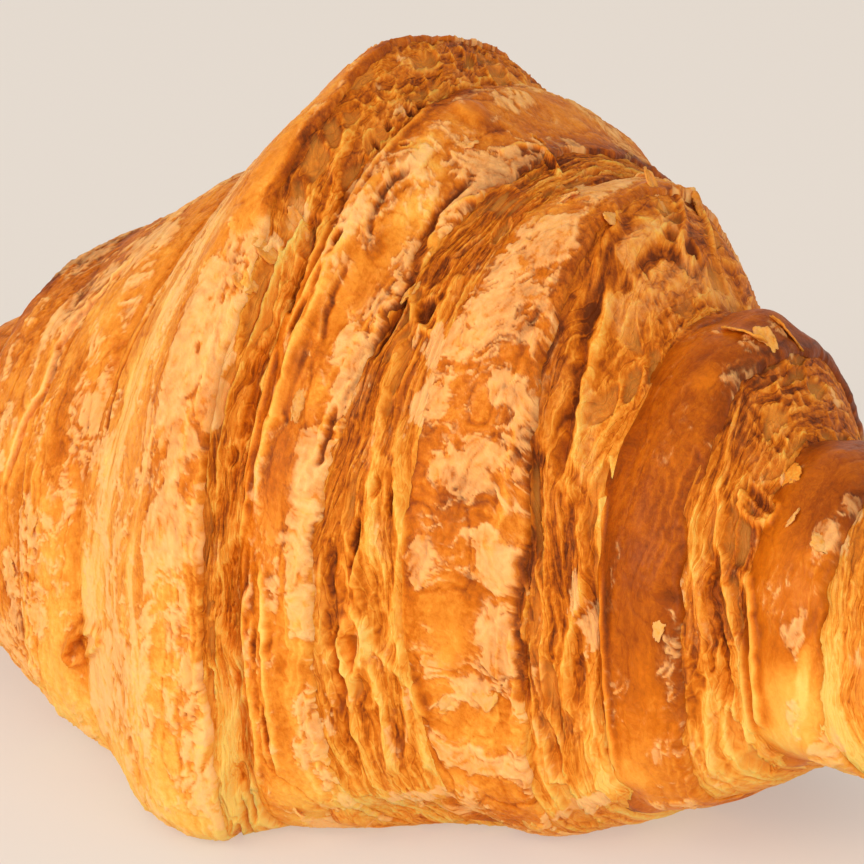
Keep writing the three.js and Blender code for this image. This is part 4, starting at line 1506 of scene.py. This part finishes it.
    def strokes(self) -> list[Fold]:
        """Long folds of the crust that stand out."""
        strand, groove, streak, step, brown, tan, curl, cream = (partial(Fold, stroke) for stroke in Stroke)
        return [
            # crest of wrap A
            brown(0.9, 0.7, x=(400, 372, 346, 322, 302, 284, 266), y=(50, 72, 98, 126, 156, 190, 226)),
            # layers of wrap A
            strand(0.55, 1.1, x=(388, 366, 351, 344, 324, 316, 299, 284, 272, 259, 251, 249),
                   y=(150, 178, 206, 232, 260, 290, 325, 360, 400, 440, 480, 520)),
            strand(0.35, 0.8, x=(440, 418, 398, 380, 362, 348, 334, 318, 304, 290),
                   y=(72, 92, 108, 130, 152, 180, 212, 246, 272, 298)),
            strand(0.35, 0.8, x=(352, 338, 330, 318, 304, 290), y=(112, 140, 170, 200, 232, 262)),
            strand(0.3, 0.7, x=(262, 250, 244, 236, 228, 222, 214), y=(330, 365, 400, 440, 480, 520, 560)),
            strand(0.35, 0.8, x=(240, 234, 226, 214, 208, 214, 224), y=(450, 490, 530, 560, 600, 640, 690)),
            strand(0.35, 0.8, x=(258, 264, 262, 266, 274, 276), y=(560, 600, 640, 690, 730, 780)),
            strand(0.35, 0.8, x=(240, 228, 232, 242, 250, 246), y=(590, 620, 660, 710, 760, 810)),
            strand(0.35, 0.8, x=(226, 222, 226, 238), y=(700, 745, 790, 822)),
            groove(0.35, 1, x=(308, 300, 290, 280, 274), y=(196, 222, 250, 276, 305)),
            groove(0.35, 0.9, x=(262, 254, 246, 238, 228), y=(300, 330, 360, 400, 440)),
            groove(0.35, 0.5, x=(214, 210, 213, 206), y=(430, 470, 505, 540)),
            groove(0.35, 0.4, x=(242, 246, 256, 264, 272), y=(640, 680, 715, 745, 785)),
            # wrap B
            step(0.6, 0.9, x=(278, 285, 292, 306), y=(425, 400, 372, 346)),
            step(0.5, 0.7, x=(322, 325, 334, 346), y=(345, 312, 284, 262)),
            step(0.6, 0.9, x=(364, 371, 382, 398, 420), y=(236, 206, 184, 170, 163)),
            streak(1, 0.95, x=(316, 308, 304, 303, 304, 306), y=(425, 460, 500, 550, 600, 640)),
            groove(0.25, 0.6, x=(342, 330, 322), y=(405, 440, 470)),
            # layers of wrap B
            strand(0.4, 0.9, x=(404, 392, 382, 377, 371, 368, 373), y=(330, 370, 410, 450, 495, 540, 580)),
            strand(0.35, 0.8, x=(400, 394, 392, 397, 391, 393, 402), y=(410, 450, 495, 540, 590, 640, 690)),
            strand(0.4, 0.9, x=(345, 360, 375, 392, 406, 420), y=(600, 622, 648, 672, 694, 730)),
            strand(0.35, 0.5, x=(362, 346, 338, 345, 352, 350, 358), y=(606, 628, 650, 668, 684, 720, 748)),
            strand(0.35, 0.9, x=(354, 355, 358, 366, 360, 353), y=(540, 575, 610, 640, 664, 684)),
            strand(0.35, 0.9, x=(380, 368, 366, 376, 382, 392), y=(602, 622, 650, 690, 730, 780)),
            groove(0.35, 0.9, x=(332, 331, 331, 334, 340, 348, 362), y=(530, 570, 610, 645, 690, 730, 785)),
            groove(0.35, 1.1, x=(482, 443, 424, 413, 404, 388, 374), y=(176, 211, 246, 280, 303, 334, 366)),
            strand(0.35, 1, x=(415, 414, 420, 432, 440, 452, 462), y=(285, 305, 325, 330, 310, 285, 268)),
            strand(0.3, 0.8, x=(498, 520, 545, 560), y=(165, 156, 160, 175)),
            strand(0.3, 0.8, x=(455, 478, 496, 520), y=(218, 206, 196, 188)),
            # layers of wrap C
            strand(0.35, 0.6, x=(605, 613, 618, 607, 598, 592), y=(222, 212, 228, 240, 262, 300)),
            strand(0.45, 1, x=(619, 649, 678, 706, 722), y=(210, 193, 200, 218, 245)),
            strand(0.3, 0.5, x=(676, 686, 683, 690), y=(200, 215, 232, 250)),
            groove(0.45, 1, x=(600, 588, 580, 572, 560, 552), y=(270, 310, 350, 400, 440, 480)),
            strand(0.4, 0.9, x=(613, 597, 582, 574, 570), y=(280, 336, 392, 440, 470)),
            strand(0.4, 0.9, x=(560, 566, 575, 572, 562, 560, 566), y=(470, 500, 540, 590, 640, 690, 730)),
            strand(0.35, 0.8, x=(592, 588, 590, 594, 600, 612), y=(470, 540, 610, 680, 740, 790)),
            groove(0.4, 0.9, x=(538, 538, 534, 520, 524, 530), y=(430, 480, 540, 600, 660, 710)),
            # layers of wrap D
            strand(0.45, 1, x=(734, 738, 744, 748, 752), y=(560, 600, 640, 690, 740)),
            strand(0.35, 0.8, x=(700, 696, 698, 702, 706, 716), y=(500, 550, 610, 670, 730, 780)),
            strand(0.35, 0.8, x=(722, 716, 718, 724, 732, 744), y=(470, 530, 590, 660, 720, 770)),
            groove(0.35, 0.8, x=(710, 708, 712, 716), y=(540, 600, 660, 720)),
            strand(0.4, 0.9, x=(742, 738, 746, 764, 772), y=(478, 500, 512, 505, 488)),
            # bands of tone and a groove over the layers of wrap C
            brown(1.1, 0.8, x=(556, 575, 590, 606, 632, 664, 698, 722),
                  y=(330, 285, 250, 222, 202, 196, 206, 236)),
            tan(0.8, 0.9, x=(622, 632, 648, 668, 684), y=(262, 240, 226, 218, 226)),
            groove(0.45, 1, x=(640, 650, 666, 684, 694), y=(262, 246, 238, 246, 260)),
            tan(1.3, 0.8, x=(610, 628, 655, 690, 725, 752), y=(330, 296, 272, 262, 268, 284)),
            brown(0.8, 0.6, x=(640, 662, 692, 726, 756), y=(345, 318, 300, 292, 300)),
            tan(0.6, 0.7, x=(590, 584, 580), y=(380, 430, 480)),
            # left arm
            curl(0.42, 1, x=(80, 70, 66, 70, 80, 92, 97, 92, 84, 82),
                 y=(672, 664, 652, 641, 635, 634, 642, 650, 656, 664)),
            cream(2.8, 1, x=(240, 212, 188, 164, 146, 130, 114, 104, 92, 84, 92, 106),
                  y=(196, 236, 276, 318, 356, 396, 440, 490, 540, 590, 640, 690)),
            cream(0.9, 0.8, x=(150, 140, 134, 138, 146, 160), y=(690, 640, 580, 520, 470, 420)),
            cream(0.5, 1, x=(142, 112, 85, 64, 48, 26, 6), y=(258, 288, 318, 350, 390, 428, 492)),
            brown(1.2, 0.5, x=(86, 84, 70, 60, 52), y=(326, 360, 400, 440, 490)),
            brown(1.6, 0.4, x=(120, 80, 46, 20), y=(262, 290, 330, 380)),
            brown(0.8, 0.5, x=(196, 200, 206), y=(560, 610, 660)),
            step(0.7, 1, x=(4, 25, 48, 62, 83, 110, 140), y=(500, 428, 390, 350, 318, 290, 262)),
            groove(0.3, 0.6, x=(205, 170, 140, 110, 98), y=(220, 270, 320, 380, 440)),
        ]


@dataclass
class LooseFlakes:
    """The flakes of crust that have come loose, as one piece of closed thin sheets."""

    form: RolledForm
    sheet: float = 0.17
    fine: float = 0.14
    sunk: float = 0.35

    def flakes(self) -> list[Flake]:
        """Every loose flake."""
        peeled = partial(Flake, lift=0.5, curl=0.3, bake=0.45, pale=0.7)
        return [
            Flake(1, 1.6, x=745, y=338, tilt=30, bake=0.45, pale=0.4),
            Flake(1.2, 1, x=764, y=350, tilt=200, lift=0.7),
            Flake(0.7, 1.5, x=785, y=341, tilt=20, lift=0.5, bake=0.5, pale=0.3),
            Flake(1.2, 0.5, x=612, y=226, tilt=10, lift=0.9, curl=0.5),
            Flake(1.4, 0.6, x=700, y=214, tilt=-70, lift=0.9, curl=0.4, bake=0.55, pale=0.4),
            Flake(1.6, 0.6, x=655, y=199, tilt=-80, lift=0.7, curl=0.3, bake=0.5),
            Flake(1.1, 0.8, x=292, y=815, tilt=100, lift=0.7, bake=0.35, pale=0.8),
            Flake(1.3, 0.9, x=788, y=464, tilt=190, bake=0.42, pale=0.15),
            peeled(1.7, 0.7, x=455, y=700, tilt=-50),
            peeled(1.5, 1, x=487, y=690, tilt=20),
            peeled(0.7, 1.2, x=470, y=150, tilt=90),
            peeled(0.8, 1.3, x=568, y=200, tilt=80),
            peeled(0.8, 1.2, x=640, y=176, tilt=90),
            Flake(0.8, 1.4, x=585, y=812, tilt=80, lift=0.5, pale=0.7),
            Flake(0.7, 1, x=330, y=806, tilt=90, lift=0.4, pale=0.7),
            Flake(0.7, 1.2, x=410, y=808, tilt=80, lift=0.4, pale=0.7),
            Flake(1.8, 0.4, x=412, y=292, tilt=5),
            Flake(2.2, 0.5, x=300, y=395, tilt=10, lift=0.5, bake=0.5, pale=0.6),
            Flake(0.8, 0.9, x=268, y=250, tilt=30, bake=0.5),
            Flake(0.9, 0.7, x=292, y=212, tilt=200, bake=0.5),
            Flake(0.8, 0.8, x=245, y=285, tilt=60, lift=0.5, bake=0.5),
            peeled(1.5, 0.9, x=35, y=515, tilt=20, lift=0.4),
            peeled(1, 1, x=12, y=565, tilt=100),
            peeled(1, 0.9, x=660, y=780, tilt=-40),
            peeled(1.6, 0.7, x=665, y=620, tilt=10, lift=0.4),
            peeled(0.6, 1.1, x=790, y=515, tilt=80, lift=0.4),
            peeled(1, 0.9, x=828, y=548, tilt=-30),
        ]

    def around(self, at: float, angle: float, way: Array) -> Array:
        """Angles that lie a way round the roll from an angle, in millimetres at one place."""
        reach, steps = 40.0, 80
        degrees = np.linspace(angle - reach, angle + reach, 2 * steps + 1)
        points = self.form.point(0 * degrees + at, degrees)
        total = np.concatenate([[0], np.cumsum(np.linalg.norm(np.diff(points, axis=0), axis=1))])
        return np.interp(way + total[steps], total, degrees)

    def ground(self, carriers: list[bpy.types.Object], at: Array, angles: Array) -> Array:
        """How far the carriers stand above the plain roll at each place, in millimetres."""
        reach, heights = 5.0, []
        outside, inside = (self.form.point(at, angles, depth) * MM for depth in (-reach, reach))
        for start, end in zip(outside, inside):
            start, way = Vector(start), Vector(end - start)
            gaps = [way.length / MM]
            for carrier in carriers:
                hit, place, _, _ = carrier.ray_cast(start, way.normalized(), distance=way.length)
                gaps += [(place - start).length / MM] if hit else []
            heights.append(reach - min(gaps))
        return np.array(heights)

    def one(self, k: int, flake: Flake, at: float, angle: float,
            carriers: list[bpy.types.Object]) -> bpy.types.Object:
        """Models one flake.

        Args:
            k: Its number, which seeds its torn outline.
            flake: Its sizes and tones.
            at: Its place along the axis.
            angle: Its angle round the roll.
            carriers: The pieces it rests on.

        Returns:
            The flake as a closed thin sheet.
        """
        fine = self.fine * coarser()
        rows, columns = (max(6, int(2 * size / fine)) for size in (flake.wide, flake.long))
        piece, flat = new_grid(f"flake_{k:02d}", columns, rows)
        a, b, _ = flat.astype(np.float64).T
        seed = FLAKE_SEED + k
        # a torn outline that narrows towards its ends
        p = a * (1 + 0.36 * layered(1.3 * b, 0 * b + 0.5 * k, seed, 4, 0.7)) * (1 - 0.35 * b * b)
        q = b * (1 + 0.36 * layered(1.3 * a, 0 * a + 0.5 * k, seed + 40, 4, 0.7)) * (1 - 0.35 * a * a)
        c, n = math.cos(math.radians(flake.tilt)), math.sin(math.radians(flake.tilt))
        round_ = p * flake.long * c - q * flake.wide * n
        along = p * flake.long * n + q * flake.wide * c
        # a plane laid through the ground under 5 by 5 points of the flake
        u, v = (0.4 * axis.ravel() for axis in np.mgrid[-2:3, -2:3])
        heights = self.ground(carriers, at + u * flake.long * n + v * flake.wide * c,
                              self.around(at, angle, u * flake.long * c - v * flake.wide * n))
        plane = np.linalg.lstsq(np.stack([0 * u + 1, u, v], -1), heights, rcond=None)[0]
        free = (a + 1) / 2
        off = plane @ [0 * a + 1, a, b] - self.sunk
        off = off + (flake.lift + self.sunk) * free ** 1.3 - flake.curl * free * b * b
        off = off + 0.12 * layered(2 * a, 2 * b, seed + 80, 3)
        place_points(piece, self.form.point(at + along, self.around(at, angle, round_), -off))
        worn = layered(2.4 * a + k, 2.4 * b, seed + 120, 4, 0.7)
        tones = {"bake": flake.bake + 0.12 * worn, "pale": flake.pale * (0.75 + 0.4 * worn),
                 "pit": 0 * a, "gloss": 0.4 + 0.1 * worn}
        for name, values in tones.items():
            keep(piece, name, np.clip(values, 0, 1))
        keep(piece, "band", np.stack([round_, along, 0 * a], -1))
        bpy.ops.object.modifier_add(type="SOLIDIFY")
        sheet = piece.modifiers[-1]
        sheet.thickness, sheet.offset = self.sheet * MM, 0.0
        bpy.ops.object.modifier_apply(modifier=sheet.name)
        return piece

    def build(self, sight: Sighting, carriers: list[bpy.types.Object],
              finish: bpy.types.Material) -> bpy.types.Object:
        """Models every flake and joins them.

        Args:
            sight: Finds the place of each on the roll.
            carriers: The pieces that the flakes rest on.
            finish: The material they are dressed in.

        Returns:
            The finished piece.
        """
        bpy.context.view_layer.update()
        made = [self.one(k, flake, *sight.find(flake.x, flake.y), carriers)
                for k, flake in enumerate(self.flakes())]
        for piece in made:
            piece.select_set(True)
        bpy.context.view_layer.objects.active = piece = made[0]
        bpy.ops.object.join()
        piece.name = piece.data.name = "loose_flakes"
        dress(piece, finish)
        return piece


@dataclass
class Croissant:
    """The whole roll: its wraps from the left tip to the right one."""

    form: RolledForm = field(default_factory=RolledForm)

    def wraps(self) -> list[Wrap]:
        """Every wrap, each closed in itself."""
        left, right = Side.LEFT, Side.RIGHT
        # kind, name, start, end, side, spacing in front and behind, seed, look
        plans = (
            (TipWrap, "left_tip", "crease_l5", "left_tip", left, 0.36, 0.7, 500, Look(0.1)),
            (TipWrap, "right_tip", "crease_fg", "right_tip", right, 0.3, 0.5, 700, Look(0.1)),
            (SkinWrap, "wrap_l5_skin", "crease_l4", "edge_l5", left, 0.36, 0.7, 510, Look(0.05)),
            (LayerWrap, "wrap_l5_layers", "edge_l5", "crease_l5", left, 0.36, 0.7, 520, Look(0.05)),
            (SkinWrap, "wrap_l4_skin", "crease_l3", "edge_l4", left, 0.3, 0.6, 530, Look(0.05)),
            (LayerWrap, "wrap_l4_layers", "edge_l4", "crease_l4", left, 0.3, 0.6, 540, Look(0.05)),
            (SkinWrap, "wrap_l3_skin", "crease_l2", "edge_l3", left, 0.17, 0.55, 550,
             Look(0.02, 0.04, darken=0.17, lighten=0.20)),
            (LayerWrap, "wrap_l3_layers", "edge_l3", "crease_l3", left, 0.22, 0.55, 560, Look(0.05)),
            (SkinWrap, "wrap_l2_skin", "crease_l1", "crease_l2", left, 0.17, 0.55, 570,
             Look(-0.08, 0.15, darken=0.10)),
            (SkinWrap, "wrap_a_skin", "crease_l1", "edge_a", right, 0.20, 0.7, 580,
             Look(-0.07, 0.11, darken=0.07)),
            (LayerWrap, "wrap_a_layers", "edge_a", "crease_ab", right, 0.15, 0.55, 590,
             Look(-0.01, comb=0.7)),
            (SkinWrap, "wrap_b_skin", "crease_ab", "edge_b", right, 0.16, 0.55, 600,
             Look(0.0, 0.02, darken=0.09, crinkle=0.2)),
            (LayerWrap, "wrap_b_layers", "edge_b", "crease_bc", right, 0.15, 0.55, 610,
             Look(0.02, opened=0.8)),
            (SkinWrap, "wrap_c_skin", "crease_bc", "edge_c", right, 0.16, 0.55, 620,
             Look(0.03, 0.15, flake_long=3.2, flake_wide=4.0, crinkle=0.8, lighten=0.06, darken=-0.03)),
            (LayerWrap, "wrap_c_layers", "edge_c", "crease_cd", right, 0.15, 0.55, 630, Look(0.02)),
            (SkinWrap, "wrap_d_skin", "crease_cd", "edge_d", right, 0.16, 0.5, 640,
             Look(0.20, -0.34, lighten=0.24, darken=0.07, satin=0.8, crinkle=0.1)),
            (LayerWrap, "wrap_d_layers", "edge_d", "crease_de", right, 0.15, 0.5, 650,
             Look(0.02, lighten=0.16, comb=0.3)),
            (SkinWrap, "wrap_e_skin", "crease_de", "edge_e", right, 0.18, 0.5, 660,
             Look(0.16, -0.34, lighten=0.38, darken=0.09, satin=0.8, crinkle=0.1)),
            (LayerWrap, "wrap_e_layers", "edge_e", "crease_ef", right, 0.2, 0.5, 670,
             Look(-0.08, lighten=0.3)),
            (SkinWrap, "wrap_f_skin", "crease_ef", "edge_f", right, 0.3, 0.5, 680,
             Look(satin=0.6, lighten=0.4)),
            (LayerWrap, "wrap_f_layers", "edge_f", "crease_fg", right, 0.3, 0.5, 690, Look(lighten=0.4)),
        )
        return [kind(name, self.form, start, end, side, look, fine, coarse, seed)
                for kind, name, start, end, side, fine, coarse, seed, look in plans]

    def build(self) -> list[bpy.types.Object]:
        """Builds every piece of the roll.

        Returns:
            The pieces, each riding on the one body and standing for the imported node.
        """
        tones = DoughTones().group()
        skin = CrustFinish("baked_skin").material(tones)
        layers = CrustFinish("cut_layers", grain=1.1, fibre_across=1.25, fibre_along=0.2, fibre_tone=0.18,
                             thread_relief_and_shade=0.10, hollow_glow_share=0.5).material(tones)
        pieces = []
        markings = Markings(self.form)
        for wrap in self.wraps():
            pieces.append(wrap.build(markings, skin if isinstance(wrap, SkinWrap) else layers))
        pieces.append(LooseFlakes(self.form).build(markings.sight, list(pieces), skin))
        for piece in pieces:
            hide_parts("croissant")
            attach(piece, "root")
            log.info("%s: %d points", piece.name, len(piece.data.vertices))
        return pieces


def face(thing: bpy.types.Object, name: str, way: Vector) -> None:
    """Names a camera or a lamp, and turns it to look along a way."""
    thing.name = name
    thing.rotation_mode = "QUATERNION"
    thing.rotation_quaternion = way.to_track_quat("-Z", "Y")


@dataclass(frozen=True)
class Lamp:
    """A soft square lamp that faces the roll: its place and side in metres, its power in watts."""

    name: str
    spot: tuple[float, float, float]
    size: float
    power: float
    colour: tuple[float, float, float]
    target: tuple[float, float, float] = (0.0, 0.0, 0.03)

    def build(self) -> None:
        """Sets the lamp."""
        bpy.ops.object.light_add(type="AREA", location=self.spot)
        lamp = bpy.context.active_object
        lamp.data.size, lamp.data.energy, lamp.data.color = self.size, self.power, self.colour
        face(lamp, self.name, Vector(self.target) - Vector(self.spot))


@dataclass(frozen=True)
class Studio:
    """A plain pale floor, soft light and the camera."""

    view: Viewpoint = Viewpoint()
    floor_size: float = 6.0
    floor_colour: tuple[float, float, float] = (0.681, 0.66, 0.645)
    floor_glow: tuple[float, float, float] = (1.0, 0.955, 0.90)
    glow_strength: float = 0.40
    sky_colour: tuple[float, float, float, float] = (1.0, 0.97, 0.93, 1.0)
    sky_strength: float = 0.64
    clip: tuple[float, float] = (0.01, 20.0)
    lamps: tuple[Lamp, ...] = (
        Lamp("key", (-0.25, -1.05, 0.55), 0.9, 9.0, (1.0, 0.93, 0.84)),
        Lamp("fill", (0.95, -0.60, 0.40), 0.8, 4.6, (1.0, 0.94, 0.86)),
    )

    def camera(self) -> None:
        """Sets the camera at the photograph's angle."""
        back, _, target = self.view.aim(RolledForm.centring)
        bpy.ops.object.camera_add(location=Vector(target + back * self.view.distance) * MM)
        camera = bpy.context.scene.camera = bpy.context.active_object
        face(camera, "camera", Vector(-back))
        camera.data.lens, camera.data.sensor_width = self.view.lens, self.view.sensor
        camera.data.clip_start, camera.data.clip_end = self.clip
        camera.data.dof.use_dof = False

    def floor(self) -> None:
        """Lays a wide plain floor under the roll."""
        bpy.ops.mesh.primitive_plane_add(size=self.floor_size, location=(0, 0, 0))
        floor = bpy.context.active_object
        floor.name = "floor"
        made = bpy.data.materials.new("pale_floor")
        made.use_nodes = True
        inputs = made.node_tree.nodes["Principled BSDF"].inputs
        for name, value in (("Base Color", screen(self.floor_colour)), ("Roughness", 0.8),
                            ("Specular IOR Level", 0.2), ("Emission Color", screen(self.floor_glow)),
                            ("Emission Strength", self.glow_strength)):
            inputs[name].default_value = value
        floor.data.materials.append(made)

    def build(self) -> None:
        """Sets the floor, the camera, the lamps and the sky."""
        self.floor()
        self.camera()
        for lamp in self.lamps:
            lamp.build()
        world = bpy.context.scene.world = bpy.data.worlds.new("soft_room")
        world.use_nodes = True
        sky = world.node_tree.nodes["Background"].inputs
        sky["Color"].default_value, sky["Strength"].default_value = self.sky_colour, self.sky_strength
        settings = bpy.context.scene.view_settings
        settings.view_transform, settings.look = "Standard", "None"


def main() -> None:
    """Builds the croissant and the studio."""
    logging.basicConfig(level=logging.INFO, format="%(message)s")
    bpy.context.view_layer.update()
    Croissant().build()
    Studio().build()
    bpy.context.view_layer.update()


if __name__ == "__main__":
    main()
